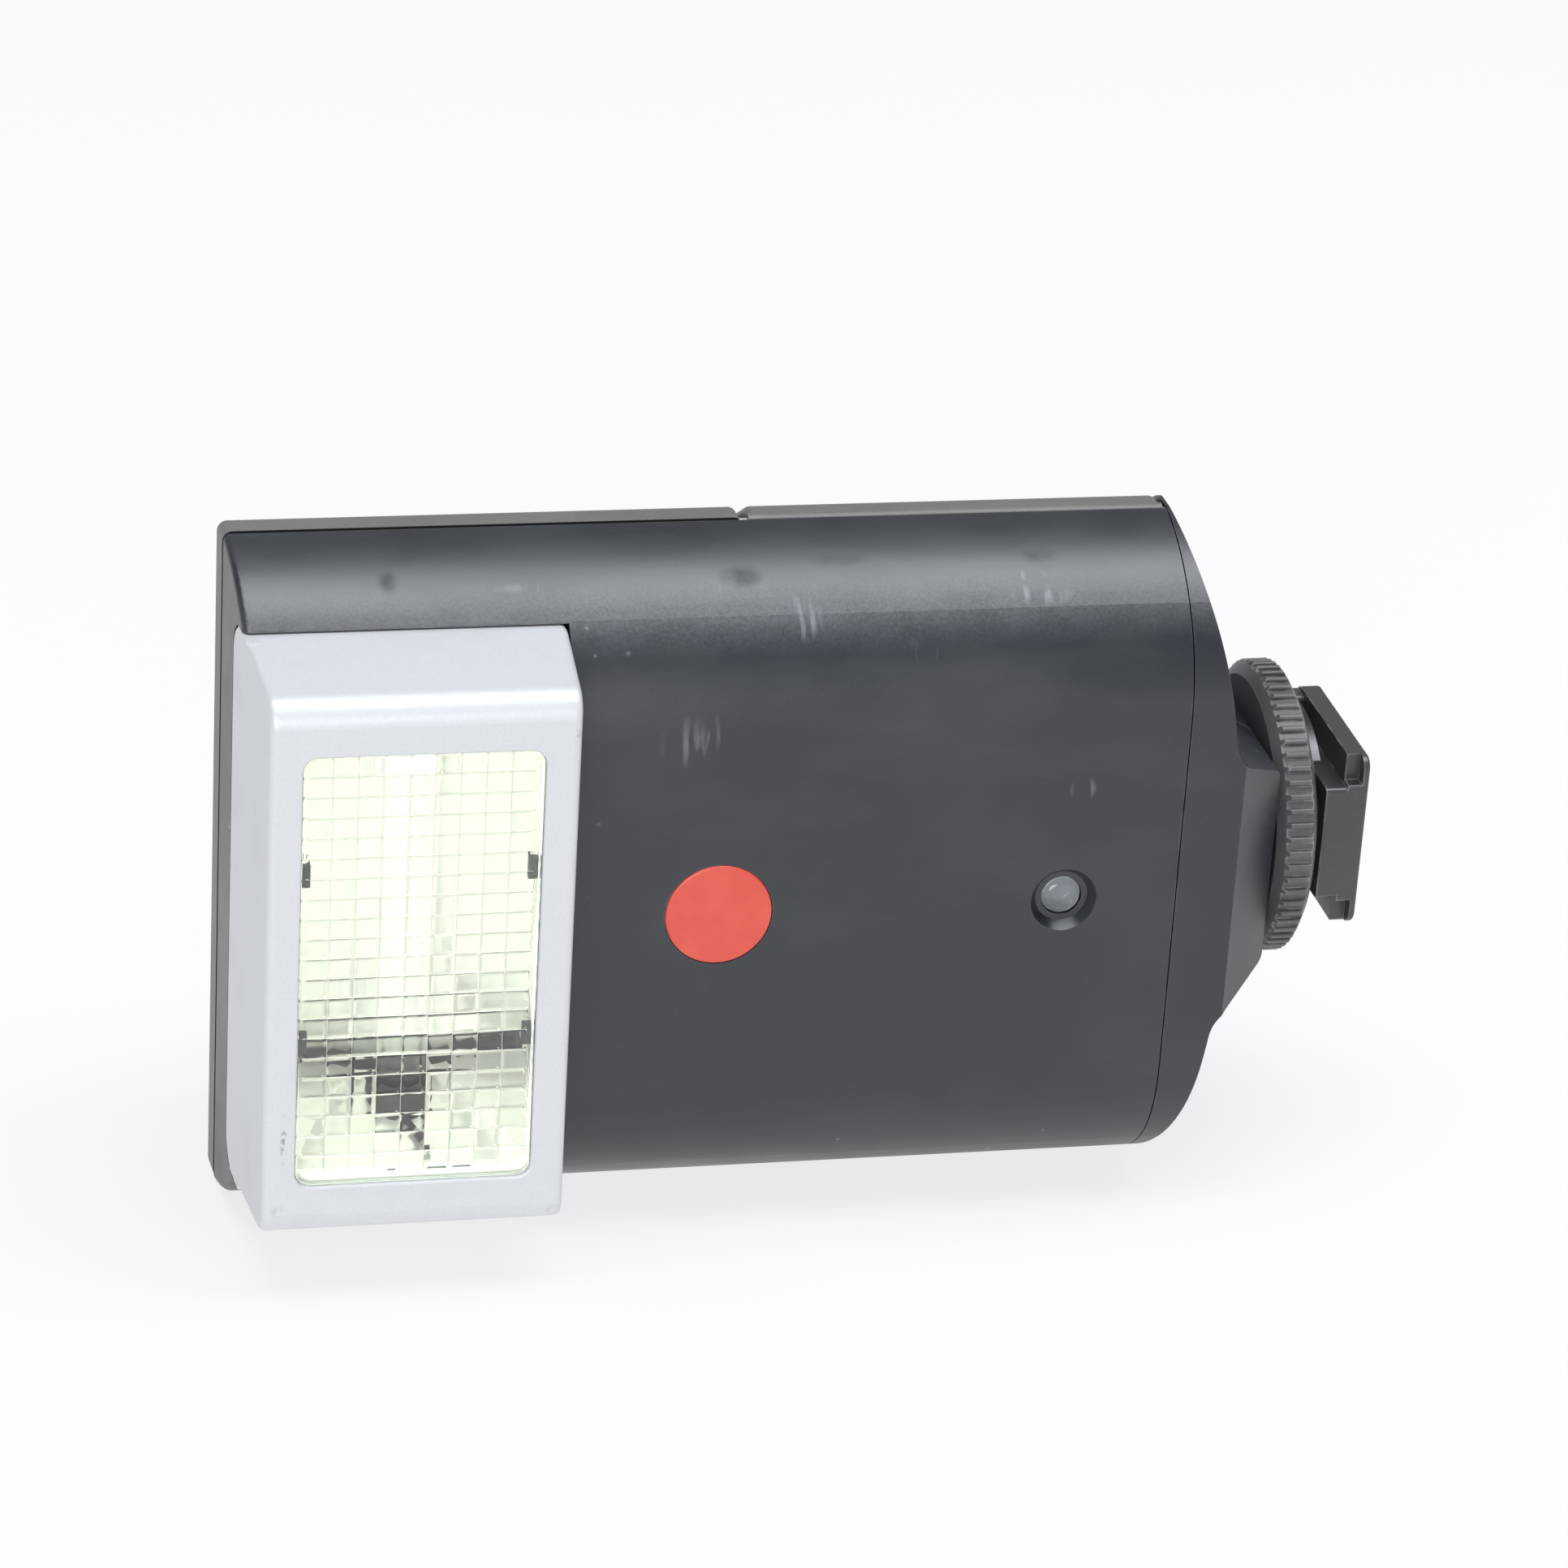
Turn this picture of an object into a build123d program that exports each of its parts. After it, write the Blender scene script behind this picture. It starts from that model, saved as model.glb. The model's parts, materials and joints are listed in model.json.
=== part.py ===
from build123d import *
import math
import os

# Compact shoe-mount electronic flash, lying on one long side.
# +X runs from the lamp head to the shoe foot, -Y is the side that faces the subject, +Z is up.
# The origin is below the middle of the object's box, on the surface that it lies on. Millimetres.

os.makedirs("parts", exist_ok=True)

# --- driving dimensions -----------------------------------------------------------------------
overall_length = 115.7      # head end to the tips of the shoe contacts
overall_depth = 45.0        # bezel front to the tops of the keys
body_width = 70.2           # across the long sides, floor to top
wall = 1.6                  # moulded wall of the shells
groove = 0.4                # open groove where the front and rear shells meet
cap_groove = 0.12           # hairline seam between the shells and the bottom cap

bezel_proud = 9.4           # bezel front in front of the flat front face
curve_depth = 15.1          # flat front face to the seam
seam_to_back = 19.5         # seam to the flat back panel
rim_depth = 3.2             # seam to the corner where the rear slope starts
cap_distance = 92.9         # head end to the bottom cap's seam
cap_bulge = 6.0             # bottom cap's arc beyond its seam
split_distance = 50.8       # head end to the split between rear shell and battery door
split_gap = 0.8             # width of that split
sole_distance = 115.2       # head end to the outer face of the foot

foot_width = 18.6           # standard accessory shoe foot
foot_thickness = 2.2
foot_length = 19.0
foot_depth = 28.7           # foot centre behind the bezel front
shoe_depth = 29.0           # wheel and stem axis behind the bezel front
wheel_radius = 14.9
wheel_ribs = 64

# --- datums -----------------------------------------------------------------------------------
head_x = -overall_length / 2
front_y = -overall_depth / 2
mid_z = body_width / 2
half = body_width / 2
face_depth = bezel_proud
seam_depth = face_depth + curve_depth
back_depth = seam_depth + seam_to_back
rim_end_depth = seam_depth + rim_depth
inside_back = back_depth - wall
inside_face = face_depth + wall


def at_x(distance):
    """X of a place measured from the head end."""
    return head_x + distance


def at_y(depth):
    """Y of a place measured back from the bezel's front."""
    return front_y + depth


def section_plane(distance):
    """Plane across the body: local x is Y, local y is Z from the middle, normal +X."""
    return Plane(origin=(at_x(distance), 0, mid_z), x_dir=(0, 1, 0), z_dir=(1, 0, 0))


def facing_plane(depth):
    """Plane parallel to the front: local x is X, local y is Z from the middle, normal -Y."""
    return Plane(origin=(0, at_y(depth), mid_z), x_dir=(1, 0, 0), z_dir=(0, -1, 0))


def plan_plane(height):
    """Plane seen from above: local x is X, local y is Y, height from the middle."""
    return Plane.XY.offset(mid_z + height)


def finish(builder, label):
    """Label a finished piece and write its file."""
    builder.part.label = label
    export_step(builder.part, f"parts/{label}.step")


# --- outlines shared by the case parts, as sketches: local x is Y, local y is Z from the middle --
front_arc_radius = 15.0
front_arc_turn = 45
side_arc_turn = 35
cos_first = math.cos(math.radians(front_arc_turn))
sin_first = math.sin(math.radians(front_arc_turn))
cos_last = math.cos(math.radians(front_arc_turn + side_arc_turn))
sin_last = math.sin(math.radians(front_arc_turn + side_arc_turn))
side_arc_radius = (curve_depth - front_arc_radius * (1 - cos_first)) / (cos_first - cos_last)
flat_half = half - front_arc_radius * sin_first - side_arc_radius * (sin_last - sin_first)

rear_slope = math.tan(math.radians(30))
back_half = half - (back_depth - rim_end_depth) * rear_slope
rim_corner = 3.5            # radius where the rim turns into the rear slope
back_corner = 7.0           # radius where the slope turns into the back panel
head_draft = 0.07           # the head end leans back by this much per millimetre of depth
bevel_setback = 6.0         # behind the rim the head end slopes in by this much
end_corner = 1.0            # radius along the edges of the rear shell's head end
head_edge = 0.7             # radius along the edges of the front shell's head end

head_plane = Plane(
    origin=(head_x, at_y(rim_end_depth), mid_z), x_dir=(0, 0, 1), z_dir=(1, head_draft, 0)
)
bevel_plane = Plane(
    origin=(head_x, at_y(rim_end_depth), mid_z),
    x_dir=(0, 0, 1),
    z_dir=(back_depth - rim_end_depth, -bevel_setback, 0),
)


def draw_front_curve():
    """The flat face and the two arcs of one long side; returns the arc that ends at the seam."""
    flat = Line((at_y(face_depth), 0), (at_y(face_depth), flat_half))
    front_arc = JernArc(flat @ 1, (0, 1), front_arc_radius, -front_arc_turn)
    return JernArc(front_arc @ 1, front_arc % 1, side_arc_radius, -side_arc_turn)


def draw_rear_curve(start):
    """From a start point along the rim, round the rear slope, to the middle of the back."""
    FilletPolyline(
        start,
        (at_y(rim_end_depth), half),
        (at_y(back_depth), back_half),
        (at_y(back_depth), 0),
        radius=(rim_corner, back_corner),
    )


with BuildSketch() as front_outline:
    with BuildLine():
        arc_end = draw_front_curve() @ 1
        Polyline(arc_end, (at_y(back_depth), half), (at_y(back_depth), 0))
        mirror(about=Plane.XZ)
    make_face()

with BuildSketch() as rear_outline:
    with BuildLine():
        Line((at_y(face_depth), 0), (at_y(face_depth), half))
        draw_rear_curve((at_y(face_depth), half))
        mirror(about=Plane.XZ)
    make_face()

with BuildSketch() as full_outline:
    with BuildLine():
        draw_rear_curve(draw_front_curve() @ 1)
        mirror(about=Plane.XZ)
    make_face()


def keep_depths(start, end):
    """Keep only the stretch of the section sketch between two depths."""
    with Locations((at_y((start + end) / 2), 0)):
        Rectangle(end - start, 4 * half, mode=Mode.INTERSECT)


# --- places that several parts share ----------------------------------------------------------
bezel_right = 31.7          # head end to the bezel's right wall where it meets the flat face
bezel_half = 29.2           # half height of the bezel there
bezel_clear = 0.2           # gap round the bezel
bezel_end_depth = 18.3      # how far back the bezel's end face runs
bezel_end_corner = 3.5
badge_distance = 47.0
badge_radius = 5.27
badge_thickness = 0.9
sensor_distance = 81.5
sensor_dish = 3.33
sensor_radius = 2.0
lip = 0.8                   # thickness of the lips behind the grooves
lip_clear = 0.15
back_screw_distance = 45.0
back_screw_offset = 20.5
cap_screw_depth = 18.0
cap_screw_offset = 26.5
cap_rib_start = 80.0        # where the ribs for the cap screws begin
screw_core = 0.9
screw_head = 1.6
post_radius = 2.4
post_meet_depth = 34.0      # where the front and rear screw posts meet
hinge_radius = wall / 2     # the door's rounded hinge rim
hinge_depth = seam_depth + groove / 2 + hinge_radius
hinge_offset = half - hinge_radius
hinge_pin_radius = 0.4
cell_radius = 8.5           # lithium cells of 17 mm
cell_depth = 29.4           # cell axes behind the bezel's front
door_rib_depth = cell_depth + cell_radius + 0.3

# --- front shell ------------------------------------------------------------------------------
with BuildPart() as front_cavity:
    with BuildSketch(section_plane(-3)):
        offset(front_outline.sketch, amount=-wall, mode=Mode.ADD)
    extrude(amount=overall_length)
    split(bisect_by=head_plane.offset(wall), keep=Keep.TOP)

with BuildPart() as front_shell:
    with BuildSketch(section_plane(-3)):
        add(front_outline.sketch)
        keep_depths(0, seam_depth)
    extrude(amount=cap_distance - cap_groove / 2 + 3)
    split(bisect_by=head_plane, keep=Keep.TOP)
    head_edges = front_shell.faces().sort_by(Axis.X)[0].edges()
    fillet(head_edges.filter_by(lambda edge: edge.center().Y < at_y(seam_depth) - 1), head_edge)
    add(front_cavity.part, mode=Mode.SUBTRACT)
    # the notch that the head bezel closes
    with BuildSketch(section_plane(-5)):
        with Locations((at_y(bezel_end_depth + bezel_clear) - 15, 0)):
            RectangleRounded(30, 2 * (bezel_half + bezel_clear), bezel_end_corner)
    extrude(amount=bezel_right + bezel_clear + 5, mode=Mode.SUBTRACT)
    # half of the seam groove
    with BuildSketch(facing_plane(seam_depth - groove / 2)):
        with Locations((at_x(cap_distance / 2), 0)):
            Rectangle(3 * cap_distance, 4 * half)
    extrude(amount=-20, mode=Mode.SUBTRACT)
    # badge recess, sensor hole and its dished mouth
    with BuildSketch(facing_plane(face_depth)):
        with Locations((at_x(badge_distance), 0)):
            Circle(badge_radius + 0.05)
    extrude(amount=-(badge_thickness - 0.1), mode=Mode.SUBTRACT)
    with BuildSketch(facing_plane(face_depth)):
        with Locations((at_x(sensor_distance), 0)):
            Circle(sensor_radius + 0.05)
    extrude(amount=-2 * wall, mode=Mode.SUBTRACT)
    with BuildSketch(facing_plane(face_depth)):
        with Locations((at_x(sensor_distance), 0)):
            Circle(sensor_dish)
    extrude(amount=-1.0, taper=35, mode=Mode.SUBTRACT)
    # lips inside both long seams
    for side in (-1, 1):
        with BuildSketch(section_plane(end_corner + wall)):
            with Locations((at_y(seam_depth - 0.5), side * (half - wall - lip_clear - lip / 2))):
                Rectangle(3.4, lip)
        extrude(amount=cap_distance - 2.2 - end_corner - wall)
    # posts for the two back screws
    with BuildSketch(facing_plane(inside_face - wall / 2)):
        with Locations(*[(at_x(back_screw_distance), side * back_screw_offset) for side in (-1, 1)]):
            Circle(post_radius)
            Circle(screw_core, mode=Mode.SUBTRACT)
    extrude(amount=-(post_meet_depth - inside_face + wall / 2))
    # ribs for the two cap screws
    for side in (-1, 1):
        with BuildSketch(section_plane(cap_rib_start)):
            with Locations((at_y(cap_screw_depth), side * (cap_screw_offset + 0.9))):
                Rectangle(4.6, 6.4)
            with Locations((at_y(cap_screw_depth), side * cap_screw_offset)):
                Circle(screw_core, mode=Mode.SUBTRACT)
        extrude(amount=cap_distance - cap_rib_start - 1.8)
finish(front_shell, "front_shell")

# --- rear shell -------------------------------------------------------------------------------
lcd_distance = 18.5
lcd_length = 17.0
lcd_height = 30.0
key_distance = 32.5
key_offsets = (-12.6, -4.2, 4.2, 12.6)
key_length = 4.6
key_height = 6.4
test_distance = 42.0
test_offset = 11.0
test_radius = 3.2
lamp_offset = 3.0
lamp_radius = 1.3
switch_offset = -8.5
switch_travel = 4.0
switch_length = 4.0
switch_height = 7.0
recess = 0.9                # depth of the slide recesses

with BuildPart() as rear_cavity:
    with BuildSketch(section_plane(-3)):
        offset(rear_outline.sketch, amount=-wall, mode=Mode.ADD)
    extrude(amount=overall_length)
    split(bisect_by=head_plane.offset(wall), keep=Keep.TOP)
    split(bisect_by=bevel_plane.offset(wall), keep=Keep.TOP)

with BuildPart() as rear_shell:
    with BuildSketch(section_plane(-3)):
        add(rear_outline.sketch)
        keep_depths(seam_depth + groove / 2, back_depth + 1)
    extrude(amount=split_distance - split_gap / 2 + 3)
    split(bisect_by=head_plane, keep=Keep.TOP)
    split(bisect_by=bevel_plane, keep=Keep.TOP)
    bevel_edges = rear_shell.edges().filter_by(
        lambda edge: edge.center().X < at_x(bevel_setback + 1)
        and edge.center().Y > at_y(seam_depth + groove)
    )
    fillet(bevel_edges, end_corner)
    split_edges = rear_shell.faces().sort_by(Axis.X)[-1].edges()
    fillet(split_edges.filter_by(lambda edge: edge.center().Y > at_y(seam_depth + 1)), 0.7)
    add(rear_cavity.part, mode=Mode.SUBTRACT)
    # lip that shows inside the split: a band under the wall, then a step in from it
    with BuildSketch(section_plane(split_distance - 3)):
        offset(rear_outline.sketch, amount=-(wall - 0.1), mode=Mode.ADD)
        offset(rear_outline.sketch, amount=-(wall + lip_clear + lip), mode=Mode.SUBTRACT)
        keep_depths(seam_depth + 1.6, back_depth)
    extrude(amount=3 - split_gap / 2 - 0.8)
    with BuildSketch(section_plane(split_distance - 2)):
        offset(rear_outline.sketch, amount=-(wall + lip_clear), mode=Mode.ADD)
        offset(rear_outline.sketch, amount=-(wall + lip_clear + lip), mode=Mode.SUBTRACT)
        keep_depths(seam_depth + 1.6, back_depth)
    extrude(amount=4)
    # display, keys, test button and ready lamp come through the back panel
    with BuildSketch(facing_plane(back_depth + 1)):
        with Locations((at_x(lcd_distance), 0)):
            RectangleRounded(lcd_length, lcd_height, 1.0)
        with Locations(*[(at_x(key_distance), offset_z) for offset_z in key_offsets]):
            RectangleRounded(key_length + 0.3, key_height + 0.3, 1.2)
        with Locations((at_x(test_distance), test_offset)):
            Circle(test_radius + 0.15)
        with Locations((at_x(test_distance), lamp_offset)):
            Circle(lamp_radius + 0.05)
        with Locations((at_x(test_distance), switch_offset)):
            Rectangle(1.8, switch_travel + 2.6)
    extrude(amount=2 * wall + 1, mode=Mode.SUBTRACT)
    with BuildSketch(facing_plane(back_depth)):
        with Locations((at_x(test_distance), switch_offset)):
            RectangleRounded(switch_length + 0.4, switch_height + switch_travel + 0.4, 1.0)
    extrude(amount=recess, mode=Mode.SUBTRACT)
    # screw posts with countersinks from the back
    with BuildSketch(facing_plane(inside_back + wall / 2)):
        with Locations(*[(at_x(back_screw_distance), side * back_screw_offset) for side in (-1, 1)]):
            Circle(post_radius)
    extrude(amount=inside_back + wall / 2 - post_meet_depth - 0.1)
    with BuildSketch(facing_plane(back_depth + 1)):
        with Locations(*[(at_x(back_screw_distance), side * back_screw_offset) for side in (-1, 1)]):
            Circle(screw_core + 0.1)
    extrude(amount=20, mode=Mode.SUBTRACT)
    with BuildSketch(facing_plane(back_depth + 1)):
        with Locations(*[(at_x(back_screw_distance), side * back_screw_offset) for side in (-1, 1)]):
            Circle(screw_head + 0.15)
    extrude(amount=1 + 1.6, mode=Mode.SUBTRACT)
    # hole for the door's hinge pin
    with BuildSketch(section_plane(split_distance - split_gap / 2 - 3)):
        with Locations((at_y(hinge_depth), hinge_offset)):
            Circle(hinge_pin_radius)
    extrude(amount=5, mode=Mode.SUBTRACT)
finish(rear_shell, "rear_shell")

# --- battery door and its latch ---------------------------------------------------------------
door_start = split_distance + split_gap / 2
door_end = cap_distance - cap_groove / 2 - 0.14
door_rib_distances = (66.0, 84.0)   # ribs inside the door that hold the cells down
door_rib_thickness = 1.2
door_rib_span = (-26.0, 3.0)
hinge_pin_start = split_distance - split_gap / 2 - 2.9
hinge_pin_end = cap_distance + 0.3
latch_distance = 61.6       # middle of the latch recess
latch_offset = 7.0
latch_length = 11.0
latch_width = 10.0
latch_travel = 2.2

with BuildPart() as door_cavity:
    with BuildSketch(section_plane(0)):
        offset(rear_outline.sketch, amount=-wall, mode=Mode.ADD)
    extrude(amount=overall_length)

with BuildPart() as battery_door:
    with BuildSketch(section_plane(door_start)):
        add(rear_outline.sketch)
        keep_depths(seam_depth + groove / 2, back_depth + 1)
    extrude(amount=door_end - door_start)
    for group in (-1, 0):
        end_edges = battery_door.faces().sort_by(Axis.X)[group].edges()
        fillet(end_edges.filter_by(lambda edge: edge.center().Y > at_y(seam_depth + 1)), 0.7)
    add(door_cavity.part, mode=Mode.SUBTRACT)
    # the hinge rim ends in a round bead on the pin's axis
    with BuildSketch(section_plane(door_start - 1)):
        with Locations((at_y(hinge_depth) - 2, hinge_offset)):
            Rectangle(4, 2 * wall)
    extrude(amount=door_end - door_start + 2, mode=Mode.SUBTRACT)
    with BuildSketch(section_plane(door_start)):
        with Locations((at_y(hinge_depth), hinge_offset)):
            Circle(hinge_radius)
    extrude(amount=door_end - door_start)
    with BuildSketch(section_plane(door_start - 1)):
        with Locations((at_y(hinge_depth), hinge_offset)):
            Circle(hinge_pin_radius + 0.04)
    extrude(amount=door_end - door_start + 2, mode=Mode.SUBTRACT)
    # latch recess and the slot for its stem
    with BuildSketch(facing_plane(back_depth)):
        with Locations((at_x(latch_distance), latch_offset)):
            RectangleRounded(latch_length + latch_travel + 0.4, latch_width + 0.4, 1.0)
    extrude(amount=recess, mode=Mode.SUBTRACT)
    with BuildSketch(facing_plane(back_depth)):
        with Locations((at_x(latch_distance), latch_offset)):
            Rectangle(2.4 + latch_travel + 0.2, 3.2)
    extrude(amount=2 * wall, mode=Mode.SUBTRACT)
    # ribs that reach in to the cells
    for distance in door_rib_distances:
        with BuildSketch(section_plane(distance)):
            with Locations((at_y((door_rib_depth + inside_back) / 2 + 0.1), sum(door_rib_span) / 2)):
                Rectangle(inside_back - door_rib_depth + 0.2, door_rib_span[1] - door_rib_span[0])
        extrude(amount=door_rib_thickness)
    # finger ribs beside the latch
    with BuildSketch(facing_plane(back_depth + 0.35)):
        with Locations((at_x(82), 0)):
            with GridLocations(1.8, 0, 5, 1):
                SlotOverall(26, 0.9, rotation=90)
    extrude(amount=0.6)
finish(battery_door, "battery_door")

with BuildPart() as door_latch:
    latch_start = latch_distance - latch_travel / 2
    with BuildSketch(facing_plane(back_depth + 0.25)):
        with Locations((at_x(latch_start), latch_offset)):
            RectangleRounded(latch_length, latch_width, 0.9)
    extrude(amount=0.25 + recess - 0.1)
    fillet(door_latch.faces().sort_by(Axis.Y)[-1].edges(), 0.3)
    with BuildSketch(facing_plane(back_depth + 0.6)):
        with Locations((at_x(latch_start), latch_offset)):
            with GridLocations(1.7, 0, 5, 1):
                SlotOverall(latch_width - 2, 0.8, rotation=90)
    extrude(amount=0.8)
    with BuildSketch(facing_plane(back_depth - recess + 0.2)):
        with Locations((at_x(latch_start), latch_offset)):
            Rectangle(2.4, 3.0)
    extrude(amount=3.2)
    # bolt that reaches for the lip of the rear shell
    with BuildSketch(facing_plane(inside_back - 1.0)):
        with Locations((at_x(latch_start - 2.4), latch_offset)):
            Rectangle(7.2, 6.0)
    extrude(amount=1.0)
finish(door_latch, "door_latch")

with BuildPart() as door_hinge_pin:
    with BuildSketch(section_plane(hinge_pin_start)):
        with Locations((at_y(hinge_depth), hinge_offset)):
            Circle(hinge_pin_radius)
    extrude(amount=hinge_pin_end - hinge_pin_start)
finish(door_hinge_pin, "door_hinge_pin")

# --- bottom cap with the shoe pedestal --------------------------------------------------------
cap_arc_radius = 113.0
cap_apex = cap_distance + cap_bulge
pedestal_top = 104.3
pedestal_near = 15.0        # depth of the near edge of its top
pedestal_far = 42.6
pedestal_half = 10.4        # half width of its top
pedestal_base_half = 17.1   # half width of its flanks where they reach the seam plane
stem_radius = 8.0
stem_bore = 5.2
stem_clear = 0.05

with BuildSketch() as cap_arc:
    with Locations((at_x(cap_apex - cap_arc_radius), 0)):
        Circle(cap_arc_radius)
    with Locations((at_x(cap_distance + 4), 0)):
        Rectangle(20, 2.4 * half, mode=Mode.INTERSECT)

with BuildSketch() as pedestal_outline:
    add(cap_arc.sketch)
    with BuildLine():
        Polyline(
            (at_x(cap_distance), pedestal_base_half),
            (at_x(pedestal_top), pedestal_half),
            (at_x(pedestal_top), -pedestal_half),
            (at_x(cap_distance), -pedestal_base_half),
            close=True,
        )
    make_face()
    pedestal_feet = pedestal_outline.vertices().filter_by(
        lambda vertex: at_x(cap_distance + 3) < vertex.X < at_x(cap_apex)
    )
    fillet(pedestal_feet, 4.0)
    fillet(pedestal_outline.vertices().group_by(Axis.X)[-1], 1.2)

near_slope_plane = Plane(
    origin=(at_x(cap_apex), at_y(face_depth), mid_z),
    x_dir=(0, 0, 1),
    z_dir=(-(pedestal_near - face_depth), pedestal_top - cap_apex, 0),
)

with BuildPart() as cap_cavity:
    with BuildSketch(section_plane(cap_distance - 10)):
        offset(full_outline.sketch, amount=-wall, mode=Mode.ADD)
    extrude(amount=30)
    with BuildSketch(facing_plane(-10)):
        offset(cap_arc.sketch, amount=-wall, mode=Mode.ADD)
    extrude(amount=-2 * overall_depth, mode=Mode.INTERSECT)

with BuildPart() as bottom_cap:
    with BuildSketch(section_plane(cap_distance + cap_groove / 2)):
        add(full_outline.sketch)
    extrude(amount=30)
    with BuildSketch(facing_plane(-10)):
        add(pedestal_outline.sketch)
    extrude(amount=-2 * overall_depth, mode=Mode.INTERSECT)
    split(bisect_by=near_slope_plane, keep=Keep.TOP)
    with BuildSketch(section_plane(cap_apex + 0.4)):
        with Locations((at_y(pedestal_far) + 10, 0)):
            Rectangle(20, 3 * half)
    extrude(amount=20, mode=Mode.SUBTRACT)
    add(cap_cavity.part, mode=Mode.SUBTRACT)
    # locating lip inside the seam
    with BuildSketch(section_plane(cap_distance - 1.4)):
        offset(full_outline.sketch, amount=-(wall + lip_clear), mode=Mode.ADD)
        offset(full_outline.sketch, amount=-(wall + lip_clear + lip), mode=Mode.SUBTRACT)
    extrude(amount=1.4 + groove)
    with BuildSketch(section_plane(cap_distance + cap_groove / 2)):
        offset(full_outline.sketch, amount=-(wall - 0.1), mode=Mode.ADD)
        offset(full_outline.sketch, amount=-(wall + lip_clear + lip), mode=Mode.SUBTRACT)
    extrude(amount=0.8)
    # bore for the stem
    with BuildSketch(section_plane(cap_distance)):
        with Locations((at_y(shoe_depth), 0)):
            Circle(stem_radius - 1.0 + stem_clear)
    extrude(amount=30, mode=Mode.SUBTRACT)
    with BuildSketch(section_plane(cap_distance)):
        with Locations((at_y(shoe_depth), 0)):
            Circle(stem_radius + 1.7)
    extrude(amount=pedestal_top - 3.0 - cap_distance, mode=Mode.SUBTRACT)
    with BuildSketch(section_plane(pedestal_top - 1.2 - stem_clear)):
        with Locations((at_y(shoe_depth), 0)):
            Circle(stem_radius + stem_clear)
    extrude(amount=10, mode=Mode.SUBTRACT)
    # countersunk holes for the two cap screws
    with BuildSketch(section_plane(cap_distance - 2)):
        with Locations(*[(at_y(cap_screw_depth), side * cap_screw_offset) for side in (-1, 1)]):
            Circle(screw_core + 0.1)
    extrude(amount=10, mode=Mode.SUBTRACT)
    with BuildSketch(section_plane(cap_distance + 1.6)):
        with Locations(*[(at_y(cap_screw_depth), side * cap_screw_offset) for side in (-1, 1)]):
            Circle(screw_head + 0.15)
    extrude(amount=10, mode=Mode.SUBTRACT)
    # shallow seat for the end of the door's hinge pin
    with BuildSketch(section_plane(cap_distance)):
        with Locations((at_y(hinge_depth), hinge_offset)):
            Circle(hinge_pin_radius)
    extrude(amount=hinge_pin_end - cap_distance, mode=Mode.SUBTRACT)
finish(bottom_cap, "bottom_cap")

# --- head bezel and window --------------------------------------------------------------------
bezel_wall = 1.5
bezel_front_half = 27.9     # half height of the bezel's front face
bezel_front_right = 31.07
draft_depth = 13.0          # depth where the drafted flanks reach bezel_half and bezel_right
window_left = 5.07
window_right = 27.8
window_half = 22.6
window_set_back = 0.3
flange = 0.8                # the window's rim that lies behind the bezel's front
pane_clear = 0.05
skirt = 3.2                 # depth of the straight stretch behind the drafted flanks
window_centre = (window_left + window_right) / 2
window_length = window_right - window_left


def bezel_rectangle(depth, inset):
    """Rectangle of the bezel's flanks at a depth, made smaller all round by an inset."""
    share = min(depth, draft_depth) / draft_depth
    right = bezel_front_right + (bezel_right - bezel_front_right) * share - inset
    height = bezel_front_half + (bezel_half - bezel_front_half) * share - inset
    left = -3 + inset
    with Locations((at_x((left + right) / 2), 0)):
        return Rectangle(right - left, 2 * height)


with BuildPart() as bezel_inside:
    with BuildSketch(facing_plane(bezel_wall)):
        bezel_rectangle(bezel_wall, bezel_wall)
    with BuildSketch(facing_plane(draft_depth + 10)):
        bezel_rectangle(draft_depth, bezel_wall)
    loft()
    split(bisect_by=head_plane.offset(bezel_wall), keep=Keep.TOP)

with BuildPart() as head_bezel:
    with BuildSketch(facing_plane(0)):
        bezel_rectangle(0, 0)
    with BuildSketch(facing_plane(draft_depth)):
        bezel_rectangle(draft_depth, 0)
    loft()
    # straight skirt inside the front shell's notch, and the tab that closes the head end
    with BuildSketch(facing_plane(draft_depth)):
        bezel_rectangle(draft_depth, 0)
    extrude(amount=-skirt)
    with BuildSketch(section_plane(-3)):
        with Locations((at_y(bezel_end_depth) - 15, 0)):
            RectangleRounded(30, 2 * bezel_half, bezel_end_corner)
        keep_depths(draft_depth - 1, bezel_end_depth + 1)
    extrude(amount=3 + 2.4)
    split(bisect_by=head_plane, keep=Keep.TOP)
    front_face = head_bezel.faces().sort_by(Axis.Y)[0]
    fillet(front_face.edges().filter_by(Axis.X), 2.6)
    front_face = head_bezel.faces().sort_by(Axis.Y)[0]
    fillet(front_face.edges().filter_by(Axis.Z), 0.7)
    add(bezel_inside.part, mode=Mode.SUBTRACT)
    with BuildSketch(facing_plane(-1)):
        with Locations((at_x(window_centre), 0)):
            RectangleRounded(window_length, 2 * window_half, 1.5)
    extrude(amount=-5, mode=Mode.SUBTRACT)
    rim_edges = head_bezel.faces().sort_by(Axis.Y)[0].inner_wires()[0].edges()
    fillet(rim_edges, 0.25)
finish(head_bezel, "head_bezel")

window_back = bezel_wall + flange
with BuildPart() as window_panel:
    with BuildSketch(facing_plane(window_set_back)):
        with Locations((at_x(window_centre), 0)):
            RectangleRounded(window_length - 2 * pane_clear, 2 * (window_half - pane_clear), 1.45)
    extrude(amount=-(bezel_wall - window_set_back))
    fillet(window_panel.faces().sort_by(Axis.Y)[0].edges(), 0.2)
    with BuildSketch(facing_plane(bezel_wall)):
        with Locations((at_x(window_centre), 0)):
            RectangleRounded(window_length + 2 * flange, 2 * (window_half + flange), 1.5)
    extrude(amount=-flange)
finish(window_panel, "window_panel")

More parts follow.
